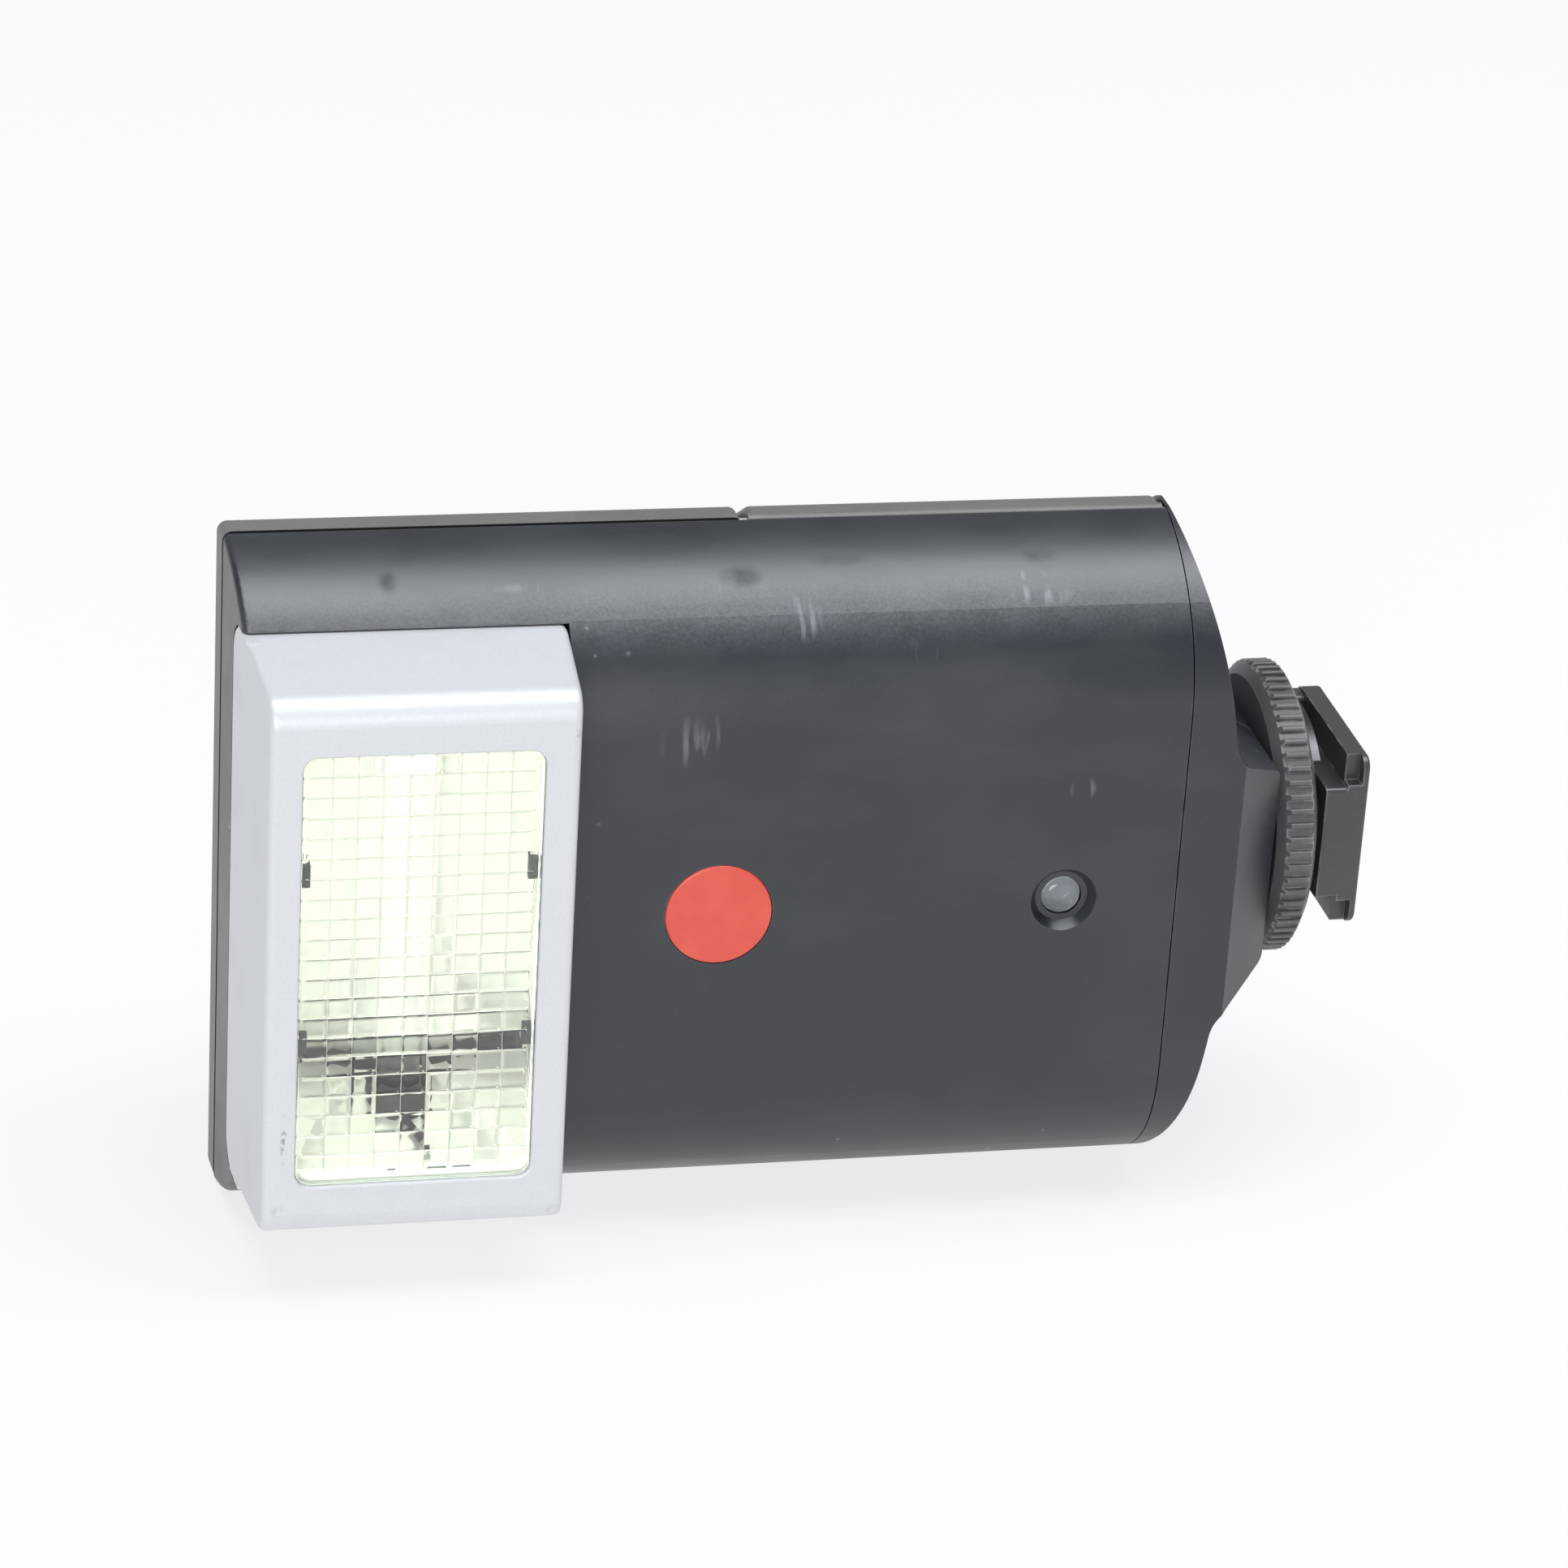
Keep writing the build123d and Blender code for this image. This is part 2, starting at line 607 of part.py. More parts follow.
# --- reflector, tube and what holds them ------------------------------------------------------
frame_thickness = 0.8
mouth_depth = window_back + frame_thickness
mouth_centre = 16.45
mouth_length = 22.4
mouth_half = 21.8
trough_depth = 15.0         # depth of the reflector's deepest line
end_wall_slope = 0.4435     # the trough's end walls lean in by this much per millimetre
metal = 0.5                 # reflector sheet
tube_distance = 16.4
tube_depth = 11.0
tube_radius = 2.0
tube_half = 20.5
boot_radius = 3.2
clip_offsets = (-9.0, 8.6)
clip_length = 0.9

with BuildPart() as window_frame:
    with BuildSketch(facing_plane(window_back)):
        with Locations((at_x(window_centre), 0)):
            RectangleRounded(window_length + 2 * flange, 2 * (window_half + flange), 1.5)
        with Locations((at_x(mouth_centre), 0)):
            Rectangle(mouth_length, 2 * mouth_half, mode=Mode.SUBTRACT)
    extrude(amount=-frame_thickness)
finish(window_frame, "window_frame")


def draw_trough(grow):
    """Parabola of the trough seen from above, from its mouth to its deepest line."""
    left = (at_x(mouth_centre - mouth_length / 2 - grow), at_y(mouth_depth))
    right = (at_x(mouth_centre + mouth_length / 2 + grow), at_y(mouth_depth))
    control = (at_x(mouth_centre), at_y(2 * (trough_depth + grow) - mouth_depth))
    Bezier(left, control, right)
    Line(right, left)


def cut_trough_ends(grow):
    """Cut both ends of a trough along its leaning end walls."""
    for side in (-1, 1):
        end_plane = Plane(
            origin=(0, at_y(mouth_depth), mid_z + side * (mouth_half + grow)),
            x_dir=(1, 0, 0),
            z_dir=(0, -end_wall_slope, -side),
        )
        split(bisect_by=end_plane, keep=Keep.TOP)


with BuildPart() as trough_inside:
    with BuildSketch(plan_plane(-30)):
        with BuildLine():
            draw_trough(0)
        make_face()
    extrude(amount=60)
    cut_trough_ends(0)

with BuildPart() as reflector:
    with BuildSketch(plan_plane(-30)):
        with BuildLine():
            draw_trough(metal)
        make_face()
    extrude(amount=60)
    cut_trough_ends(metal)
    add(trough_inside.part, mode=Mode.SUBTRACT)
    with BuildSketch(plan_plane(-30)):
        with Locations((at_x(tube_distance), at_y(tube_depth))):
            Circle(boot_radius + 0.05)
    extrude(amount=60, mode=Mode.SUBTRACT)
finish(reflector, "reflector")

with BuildPart() as reflector_clips:
    for side in (-1, 1):
        for offset_z in clip_offsets:
            clip_x = at_x(mouth_centre + side * (mouth_length / 2 - clip_length / 2))
            with BuildSketch(plan_plane(offset_z)):
                with Locations((clip_x, at_y(mouth_depth - frame_thickness / 2))):
                    RectangleRounded(clip_length, frame_thickness - 0.1, 0.1)
            extrude(amount=2.2)
finish(reflector_clips, "reflector_clips")

with BuildPart() as flash_tube:
    with BuildSketch(plan_plane(-tube_half)):
        with Locations((at_x(tube_distance), at_y(tube_depth))):
            Circle(tube_radius)
    extrude(amount=2 * tube_half)
    fillet(flash_tube.edges(), 0.8)
finish(flash_tube, "flash_tube")

with BuildPart() as tube_electrodes:
    for side in (-1, 1):
        with BuildSketch(plan_plane(side * tube_half)):
            with Locations((at_x(tube_distance), at_y(tube_depth))):
                Circle(0.5)
        extrude(amount=side * 4.5)
finish(tube_electrodes, "tube_electrodes")

boot_start = 16.8
boot_end = 22.4
with BuildPart() as tube_boots:
    for side in (-1, 1):
        with BuildSketch(plan_plane(side * boot_start)):
            with Locations((at_x(tube_distance), at_y(tube_depth))):
                Circle(boot_radius)
                Circle(tube_radius, mode=Mode.SUBTRACT)
        extrude(amount=side * (tube_half - 0.8 - boot_start))
        with BuildSketch(plan_plane(side * (tube_half - 0.8))):
            with Locations((at_x(tube_distance), at_y(tube_depth))):
                Circle(boot_radius)
                Circle(tube_radius + 0.2, mode=Mode.SUBTRACT)
        extrude(amount=side * (boot_end - tube_half + 0.8))
finish(tube_boots, "tube_boots")

wire_radius = 0.35
wire_start = Vector(at_x(16.6), at_y(7.4), mid_z - 19.3)
wire_bend = Vector(at_x(17.6), at_y(5.4), mid_z - 20.1)
wire_end = Vector(at_x(18.4), at_y(3.6), mid_z - 20.9)
with BuildPart() as trigger_wire:
    for start, end in ((wire_start, wire_bend), (wire_bend, wire_end)):
        with BuildSketch(Plane(origin=start, z_dir=end - start)):
            Circle(wire_radius)
        extrude(amount=(end - start).length)
    with Locations(wire_bend):
        Sphere(wire_radius)
finish(trigger_wire, "trigger_wire")

# --- badge and light sensor -------------------------------------------------------------------
with BuildPart() as badge_disc:
    with BuildSketch(facing_plane(face_depth - 0.1)):
        with Locations((at_x(badge_distance), 0)):
            Circle(badge_radius)
    extrude(amount=-badge_thickness)
    fillet(badge_disc.faces().sort_by(Axis.Y)[0].edges(), 0.25)
finish(badge_disc, "badge_disc")

with BuildPart() as sensor_lens:
    with BuildSketch(facing_plane(face_depth + 0.7)):
        with Locations((at_x(sensor_distance), 0)):
            Circle(sensor_radius)
    extrude(amount=-2.6)
    fillet(sensor_lens.faces().sort_by(Axis.Y)[0].edges(), 0.9)
finish(sensor_lens, "sensor_lens")

board_depth = 16.0
board_thickness = 1.6
with BuildPart() as sensor_diode:
    with BuildSketch(facing_plane(face_depth + 3.5)):
        with Locations((at_x(sensor_distance), 0)):
            Rectangle(4.6, 4.6)
    extrude(amount=-1.8)
    with BuildSketch(facing_plane(face_depth + 5.3)):
        with Locations((at_x(sensor_distance), 0)):
            with GridLocations(2.54, 0, 2, 1):
                Rectangle(0.5, 0.5)
    extrude(amount=-(board_depth - face_depth - 5.3))
finish(sensor_diode, "sensor_diode")

# --- electronics ------------------------------------------------------------------------------
with BuildPart() as main_board:
    with BuildSketch(facing_plane(board_depth)):
        with Locations((at_x(62), 0)):
            RectangleRounded(56, 45, 1.0)
        with Locations(*[(at_x(back_screw_distance), side * back_screw_offset) for side in (-1, 1)]):
            Circle(post_radius + 0.4, mode=Mode.SUBTRACT)
    extrude(amount=-board_thickness)
    # chips on the side that faces the front
    for distance, offset_z, length, height in ((60, -8, 10, 10), (60, 10, 8, 6), (74, 12, 6, 12)):
        with BuildSketch(facing_plane(board_depth)):
            with Locations((at_x(distance), offset_z)):
                Rectangle(length, height)
        extrude(amount=1.4)
finish(main_board, "main_board")

with BuildPart() as step_up_transformer:
    with BuildSketch(facing_plane(board_depth + board_thickness)):
        with Locations((at_x(42.5), -3)):
            Rectangle(11, 12)
    extrude(amount=-2.0)
    with BuildSketch(facing_plane(board_depth + board_thickness + 2.0)):
        with Locations((at_x(42.5), -3)):
            Circle(4.6)
    extrude(amount=-6.0)
    with BuildSketch(facing_plane(board_depth + board_thickness + 8.0)):
        with Locations((at_x(42.5), -3)):
            Rectangle(11, 12)
    extrude(amount=-2.0)
finish(step_up_transformer, "step_up_transformer")

with BuildPart() as trigger_coil:
    with BuildSketch(plan_plane(7)):
        with Locations((at_x(39.5), at_y(board_depth + board_thickness + 3.4))):
            Circle(3.4)
    extrude(amount=8)
finish(trigger_coil, "trigger_coil")

cell_length = 34.5
cell_offsets = (-19.5, -1.5)
cell_start = 56.0
capacitor_radius = 7.0
capacitor_offset = 17.0
capacitor_depth = 28.2

with BuildPart() as flash_capacitor:
    with BuildSketch(section_plane(54.5)):
        with Locations((at_y(capacitor_depth), capacitor_offset)):
            Circle(capacitor_radius)
    extrude(amount=36)
    fillet(flash_capacitor.edges(), 0.8)
finish(flash_capacitor, "flash_capacitor")

tray_floor_depth = 19.2
tray_start = 53.4
tray_end = 92.4
with BuildPart() as battery_tray:
    with BuildSketch(facing_plane(tray_floor_depth)):
        with Locations((at_x((tray_start + tray_end) / 2), -1.5)):
            RectangleRounded(tray_end - tray_start, 56, 1.0)
    extrude(amount=-1.4)
    # long walls beside and between the cells, and the capacitor's cradle
    for offset_z, end_depth in ((-28.8, 28.0), (-10.5, 24.0), (7.7, 28.0), (25.2, 28.0)):
        with BuildSketch(section_plane(tray_start)):
            with Locations((at_y((tray_floor_depth + end_depth) / 2), offset_z)):
                Rectangle(end_depth - tray_floor_depth, 1.0)
        extrude(amount=tray_end - tray_start)
    for start in (tray_start, tray_end - 1.0):
        with BuildSketch(section_plane(start)):
            with Locations((at_y(tray_floor_depth + 4.8), -1.8)):
                Rectangle(9.6, 55)
        extrude(amount=1.0)
    # room for the front shell's ribs that take the cap screws
    with BuildSketch(facing_plane(tray_floor_depth - 1)):
        for side in (-1, 1):
            with Locations((at_x(cap_rib_start + 9.6), side * (cap_screw_offset + 2.5))):
                Rectangle(20, 10)
    extrude(amount=-2.5, mode=Mode.SUBTRACT)
    # foot of the tray on the board
    with BuildSketch(facing_plane(board_depth + board_thickness)):
        with Locations((at_x(72), 0)):
            with GridLocations(26, 30, 2, 2):
                Circle(2.2)
    extrude(amount=-(tray_floor_depth - board_depth - board_thickness))
finish(battery_tray, "battery_tray")

with BuildPart() as battery_cells:
    for offset_z, nub_side in zip(cell_offsets, (1, 0)):
        with BuildSketch(section_plane(cell_start + (0 if nub_side else 1.0))):
            with Locations((at_y(cell_depth), offset_z)):
                Circle(cell_radius)
        extrude(amount=cell_length - 1.0)
        with BuildSketch(section_plane(cell_start + (cell_length - 1.0 if nub_side else 0))):
            with Locations((at_y(cell_depth), offset_z)):
                Circle(3.2)
        extrude(amount=1.0)
    fillet(battery_cells.edges().filter_by(GeomType.CIRCLE).filter_by(lambda rim: rim.radius > 8), 0.6)
finish(battery_cells, "battery_cells")

with BuildPart() as battery_springs:
    for offset_z in cell_offsets:
        with BuildSketch(section_plane(tray_start + 1.0)):
            with Locations((at_y(cell_depth), offset_z)):
                Rectangle(9, 9)
        extrude(amount=0.4)
        for turn, radius in enumerate((3.6, 2.6)):
            with Locations(Plane(
                origin=(at_x(tray_start + 1.7 + 0.5 * turn), at_y(cell_depth), mid_z + offset_z),
                z_dir=(1, 0, 0),
            )):
                Torus(radius, 0.32)
finish(battery_springs, "battery_springs")

with BuildPart() as battery_plates:
    with BuildSketch(section_plane(tray_end - 1.4)):
        with Locations((at_y(cell_depth), sum(cell_offsets) / 2)):
            RectangleRounded(9, 27, 1.0)
    extrude(amount=0.4)
finish(battery_plates, "battery_plates")

control_depth = 37.5
control_thickness = 1.2
with BuildPart() as control_board:
    with BuildSketch(facing_plane(control_depth)):
        with Locations((at_x(27.5), 0)):
            RectangleRounded(39, 34, 1.0)
    extrude(amount=-control_thickness)
    # dome switches under the keys, the test button and the slide switch
    with BuildSketch(facing_plane(control_depth + control_thickness)):
        with Locations(*[(at_x(key_distance), offset_z) for offset_z in key_offsets]):
            Circle(1.6)
        with Locations((at_x(test_distance), test_offset)):
            Circle(1.6)
    extrude(amount=-0.5)
finish(control_board, "control_board")

with BuildPart() as display_module:
    with BuildSketch(facing_plane(control_depth + control_thickness)):
        with Locations((at_x(lcd_distance), 0)):
            Rectangle(lcd_length + 1.6, lcd_height + 1.6)
    extrude(amount=-(inside_back - control_depth - control_thickness - 0.3))
finish(display_module, "display_module")

with BuildPart() as display_window:
    with BuildSketch(facing_plane(inside_back - 0.2)):
        with Locations((at_x(lcd_distance), 0)):
            RectangleRounded(lcd_length - 0.1, lcd_height - 0.1, 0.95)
    extrude(amount=-wall)
finish(display_window, "display_window")

# --- controls on the back ---------------------------------------------------------------------
key_travel = 0.5
key_names = ("key_mode", "key_up", "key_down", "key_set")
for key_name, offset_z in zip(key_names, key_offsets):
    with BuildPart() as control_key:
        with BuildSketch(facing_plane(inside_back - 0.8)):
            with Locations((at_x(key_distance), offset_z)):
                RectangleRounded(key_length + 1.2, key_height + 1.0, 1.2)
        extrude(amount=-0.6)
        with BuildSketch(facing_plane(inside_back - 0.3)):
            with Locations((at_x(key_distance), offset_z)):
                RectangleRounded(key_length, key_height, 1.1)
        extrude(amount=-(overall_depth - inside_back + 0.3))
        fillet(control_key.faces().sort_by(Axis.Y)[-1].edges(), 0.5)
        with BuildSketch(facing_plane(inside_back - 0.8)):
            with Locations((at_x(key_distance), offset_z)):
                Circle(1.2)
        extrude(amount=inside_back - 0.8 - (control_depth + control_thickness + 0.5 + key_travel + 0.1))
    finish(control_key, key_name)

with BuildPart() as test_button:
    with BuildSketch(facing_plane(inside_back - 0.8)):
        with Locations((at_x(test_distance), test_offset)):
            Circle(test_radius + 0.7)
    extrude(amount=-0.6)
    with BuildSketch(facing_plane(inside_back - 0.3)):
        with Locations((at_x(test_distance), test_offset)):
            Circle(test_radius)
    extrude(amount=-(overall_depth - inside_back + 0.1))
    fillet(test_button.faces().sort_by(Axis.Y)[-1].edges(), 0.5)
    with BuildSketch(facing_plane(inside_back - 0.8)):
        with Locations((at_x(test_distance), test_offset)):
            Circle(1.2)
    extrude(amount=inside_back - 0.8 - (control_depth + control_thickness + 0.5 + key_travel + 0.1))
finish(test_button, "test_button")

with BuildPart() as ready_lamp:
    with BuildSketch(facing_plane(control_depth + control_thickness)):
        with Locations((at_x(test_distance), lamp_offset)):
            Circle(lamp_radius)
    extrude(amount=-(back_depth + 0.2 - control_depth - control_thickness))
    fillet(ready_lamp.faces().sort_by(Axis.Y)[-1].edges(), 0.6)
finish(ready_lamp, "ready_lamp")

with BuildPart() as power_switch:
    switch_rest = switch_offset - switch_travel / 2
    with BuildSketch(facing_plane(back_depth - recess + 0.1)):
        with Locations((at_x(test_distance), switch_rest)):
            RectangleRounded(switch_length, switch_height, 0.8)
    extrude(amount=-(recess + 0.3))
    fillet(power_switch.faces().sort_by(Axis.Y)[-1].edges(), 0.3)
    with BuildSketch(facing_plane(back_depth + 0.1)):
        with Locations((at_x(test_distance), switch_rest)):
            with GridLocations(0, 1.5, 1, 4):
                SlotOverall(switch_length - 1, 0.7)
    extrude(amount=-0.6)
    with BuildSketch(facing_plane(back_depth - recess + 0.2)):
        with Locations((at_x(test_distance), switch_rest)):
            Rectangle(1.6, 2.4)
    extrude(amount=back_depth - recess + 0.2 - (control_depth + control_thickness + 0.2))
finish(power_switch, "power_switch")

# --- case screws ------------------------------------------------------------------------------
def screw_solids(shank_length):
    """Pan head with a cross recess and a plain shank, pointing along the current plane's -Z."""
    Cylinder(screw_head, 1.3, align=(Align.CENTER, Align.CENTER, Align.MIN))
    Cylinder(screw_core, shank_length, align=(Align.CENTER, Align.CENTER, Align.MAX))


with BuildPart() as case_screws:
    back_head = Plane(
        origin=(at_x(back_screw_distance), at_y(back_depth - 1.6), mid_z), z_dir=(0, 1, 0)
    )
    cap_head = Plane(origin=(at_x(cap_distance + 1.6), at_y(cap_screw_depth), mid_z), z_dir=(1, 0, 0))
    for side in (-1, 1):
        back_place = Plane(back_head.origin + Vector(0, 0, side * back_screw_offset), z_dir=(0, 1, 0))
        cap_place = Plane(cap_head.origin + Vector(0, 0, side * cap_screw_offset), z_dir=(1, 0, 0))
        with Locations(back_place, cap_place):
            screw_solids(9.5)
    for side in (-1, 1):
        back_place = Plane(
            back_head.origin + Vector(0, 1.3, side * back_screw_offset), z_dir=(0, 1, 0)
        )
        cap_place = Plane(cap_head.origin + Vector(1.3, 0, side * cap_screw_offset), z_dir=(1, 0, 0))
        with Locations(back_place, cap_place):
            Box(2.0, 0.5, 1.2, mode=Mode.SUBTRACT)
            Box(0.5, 2.0, 1.2, mode=Mode.SUBTRACT)
finish(case_screws, "case_screws")

# --- shoe: stem, wheel, clamping plate, foot --------------------------------------------------
stem_end = 110.8
wheel_start = 104.9
wheel_end = 108.9
plate_start = 109.2
plate_radius = 10.8
foot_inner = sole_distance - foot_thickness
neck_half = 6.1
contact_offset = 4.0
lock_pin_offset = -6.5
shoe_shift = foot_depth - shoe_depth


def shoe_plane(distance):
    """Section plane whose origin is on the shoe axis."""
    return Plane(origin=(at_x(distance), at_y(shoe_depth), mid_z), x_dir=(0, 1, 0), z_dir=(1, 0, 0))


screw_places = [(y, z) for y in (-4.4, 4.4) for z in (-4.4, 4.4)]
contact_places = {
    "contact_centre": (0, 0, 1.2),
    "contact_left": (0, -contact_offset, 0.8),
    "contact_right": (0, contact_offset, 0.8),
    "contact_back": (contact_offset, 0, 0.8),
}

with BuildPart() as shoe_stem:
    with BuildSketch(shoe_plane(pedestal_top - 4.4)):
        Circle(stem_radius + 1.6)
        Circle(stem_bore, mode=Mode.SUBTRACT)
    extrude(amount=1.4)
    with BuildSketch(shoe_plane(pedestal_top - 3.0)):
        Circle(stem_radius - 1.0)
        Circle(stem_bore, mode=Mode.SUBTRACT)
    extrude(amount=1.8)
    with BuildSketch(shoe_plane(pedestal_top - 1.2)):
        Circle(stem_radius)
        Circle(stem_bore, mode=Mode.SUBTRACT)
    extrude(amount=stem_end - pedestal_top + 1.2)
    with BuildSketch(shoe_plane(stem_end - 5)):
        with Locations(*screw_places):
            Circle(0.7)
        with Locations((lock_pin_offset, 0)):
            Circle(0.94)
    extrude(amount=6, mode=Mode.SUBTRACT)
finish(shoe_stem, "shoe_stem")

rib_height = 0.45
rib_width = 0.62
with BuildPart() as locking_wheel:
    with BuildSketch(shoe_plane(wheel_start)):
        Circle(wheel_radius - rib_height)
        with PolarLocations(wheel_radius - rib_height / 2 - 0.3, wheel_ribs):
            RectangleRounded(rib_height + 0.6, rib_width, 0.25)
        Circle(stem_radius + 0.06, mode=Mode.SUBTRACT)
    extrude(amount=wheel_end - wheel_start)
    # both rims are turned down to a cone
    with BuildSketch(Plane(origin=(at_x(0), at_y(shoe_depth), mid_z), x_dir=(1, 0, 0), z_dir=(0, 0, 1))):
        with BuildLine():
            Polyline(
                (wheel_start, 0),
                (wheel_start, wheel_radius - 1.5),
                (wheel_start + 0.7, wheel_radius - 0.5),
                (wheel_start + 1.1, wheel_radius),
                (wheel_end - 0.7, wheel_radius),
                (wheel_end, wheel_radius - 1.2),
                (wheel_end, 0),
                close=True,
            )
        make_face()
    revolve(
        axis=Axis((at_x(0), at_y(shoe_depth), mid_z), (1, 0, 0)), mode=Mode.INTERSECT
    )
    # recess that the clamping plate sits over
    with BuildSketch(shoe_plane(wheel_end - 0.8)):
        Circle(plate_radius + 0.6)
        Circle(stem_radius + 1.6, mode=Mode.SUBTRACT)
    extrude(amount=1, mode=Mode.SUBTRACT)
finish(locking_wheel, "locking_wheel")

with BuildPart() as clamping_plate:
    with BuildSketch(shoe_plane(plate_start)):
        Circle(plate_radius)
        Circle(stem_radius + 0.08, mode=Mode.SUBTRACT)
    extrude(amount=0.7)
    # jaws beside the foot's neck
    with BuildSketch(shoe_plane(plate_start + 0.7)):
        Circle(plate_radius)
        Rectangle(4 * plate_radius, 2 * neck_half + 4.0, mode=Mode.SUBTRACT)
        with Locations((10 + 5.9, 0)):
            Rectangle(20, 4 * plate_radius, mode=Mode.SUBTRACT)
    extrude(amount=0.8)
finish(clamping_plate, "clamping_plate")

with BuildPart() as shoe_foot:
    with BuildSketch(shoe_plane(foot_inner)):
        with Locations((shoe_shift, 0)):
            RectangleRounded(foot_length, foot_width, 1.4)
    extrude(amount=foot_thickness)
    fillet(shoe_foot.faces().sort_by(Axis.X)[-1].edges(), 0.35)
    # the inner layer of both flanges stops short of the near edge
    for side in (-1, 1):
        with BuildSketch(shoe_plane(foot_inner)):
            with Locations((shoe_shift - foot_length / 2 + 0.7, side * (foot_width / 2 - 1.4))):
                Rectangle(1.4, 2.9)
        extrude(amount=foot_thickness - 0.7, mode=Mode.SUBTRACT)
    with BuildSketch(shoe_plane(stem_end)):
        with Locations((shoe_shift - 1.3, 0)):
            RectangleRounded(foot_length - 2.6, 2 * neck_half, 0.5)
    extrude(amount=foot_inner - stem_end)
    # stop across the far end
    with BuildSketch(shoe_plane(stem_end)):
        with Locations((shoe_shift + foot_length / 2 - 1.3, 0)):
            RectangleRounded(2.6, foot_width - 1.0, 0.5)
    extrude(amount=foot_inner - stem_end)
    with BuildSketch(shoe_plane(stem_end - 1)):
        with Locations(*screw_places):
            Circle(0.8)
        with Locations((lock_pin_offset, 0)):
            Circle(0.95)
        for y, z, radius in contact_places.values():
            with Locations((y, z)):
                Circle(radius + 0.05)
    extrude(amount=10, mode=Mode.SUBTRACT)
    with BuildSketch(shoe_plane(sole_distance - 1.0)):
        with Locations(*screw_places):
            Circle(1.5)
    extrude(amount=2, mode=Mode.SUBTRACT)
finish(shoe_foot, "shoe_foot")

with BuildPart() as foot_screws:
    with BuildSketch(shoe_plane(sole_distance - 0.95)):
        with Locations(*screw_places):
            Circle(1.4)
    extrude(amount=0.85)
    with BuildSketch(shoe_plane(stem_end - 4)):
        with Locations(*screw_places):
            Circle(0.7)
    extrude(amount=sole_distance - 0.9 - stem_end + 4)
    with BuildSketch(shoe_plane(sole_distance - 0.5)):
        with Locations(*screw_places):
            Rectangle(1.7, 0.4)
            Rectangle(0.4, 1.7)
    extrude(amount=1, mode=Mode.SUBTRACT)
finish(foot_screws, "foot_screws")

with BuildPart() as locking_pin:
    with BuildSketch(shoe_plane(stem_end - 4.6)):
        with Locations((lock_pin_offset, 0)):
            Circle(0.9)
    extrude(amount=sole_distance - 0.1 - stem_end + 4.6)
    fillet(locking_pin.faces().sort_by(Axis.X)[-1].edges(), 0.3)
finish(locking_pin, "locking_pin")

for contact_name, (y, z, radius) in contact_places.items():
    with BuildPart() as shoe_contact:
        with BuildSketch(shoe_plane(stem_end - 1.2)):
            with Locations((y, z)):
                Circle(radius + 0.3)
        extrude(amount=0.8)
        with BuildSketch(shoe_plane(stem_end - 1.0)):
            with Locations((y, z)):
                Circle(radius)
        extrude(amount=overall_length - stem_end + 1.0)
        fillet(shoe_contact.faces().sort_by(Axis.X)[-1].edges(), 0.45)
    finish(shoe_contact, contact_name)
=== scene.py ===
import bpy
import bmesh
import json
import math
from mathutils import Matrix, Vector


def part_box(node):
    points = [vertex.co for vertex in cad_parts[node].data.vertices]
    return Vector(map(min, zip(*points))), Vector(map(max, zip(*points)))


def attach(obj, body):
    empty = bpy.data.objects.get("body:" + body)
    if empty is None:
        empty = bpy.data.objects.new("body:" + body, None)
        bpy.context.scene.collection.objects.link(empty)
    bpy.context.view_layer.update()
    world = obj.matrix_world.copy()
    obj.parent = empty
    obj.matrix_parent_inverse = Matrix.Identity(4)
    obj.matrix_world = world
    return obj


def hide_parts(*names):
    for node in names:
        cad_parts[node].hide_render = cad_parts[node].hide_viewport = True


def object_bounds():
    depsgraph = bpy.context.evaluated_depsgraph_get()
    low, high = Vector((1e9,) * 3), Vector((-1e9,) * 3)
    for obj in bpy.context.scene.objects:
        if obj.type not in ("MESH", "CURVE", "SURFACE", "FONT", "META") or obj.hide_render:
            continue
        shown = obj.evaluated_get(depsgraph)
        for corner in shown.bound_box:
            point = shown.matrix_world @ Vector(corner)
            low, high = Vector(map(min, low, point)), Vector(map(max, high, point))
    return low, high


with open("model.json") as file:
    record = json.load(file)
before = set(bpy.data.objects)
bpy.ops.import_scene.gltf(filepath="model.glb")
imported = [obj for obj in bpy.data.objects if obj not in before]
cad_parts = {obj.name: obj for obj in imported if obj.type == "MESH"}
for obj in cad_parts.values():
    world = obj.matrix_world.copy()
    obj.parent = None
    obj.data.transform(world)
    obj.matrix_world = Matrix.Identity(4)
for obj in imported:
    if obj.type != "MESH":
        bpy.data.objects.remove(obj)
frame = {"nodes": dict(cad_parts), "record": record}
nodes = frame["nodes"]
cad_low, cad_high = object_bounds()

# Metres, in the CAD's own frame. Places are worked out from the object's box: distances along the
# length from the lamp head's end, depths back from the bezel's front, offsets up from the middle.
MM = 0.001
head_x = cad_low.x
front_y = cad_low.y
mid_z = (cad_low.z + cad_high.z) / 2


def place(distance, depth, offset):
    """Point from a distance along the length, a depth and an offset from the middle, in mm."""
    return Vector((head_x + distance * MM, front_y + depth * MM, mid_z + offset * MM))


# --- camera and light -------------------------------------------------------------------------
CAMERA_AZIMUTH = math.radians(-13.32)
CAMERA_ELEVATION = math.radians(25.19)
CAMERA_ROLL = math.radians(3.60)
CAMERA_DISTANCE = 0.5276
CAMERA_AIM = place(51.42, 0.0, 18.39)
CAMERA_SHIFT = (-0.0064, -0.0008)
SENSOR = 36.0
FOCAL = 128.82
CLIP_NEAR = 0.01
CLIP_FAR = 50

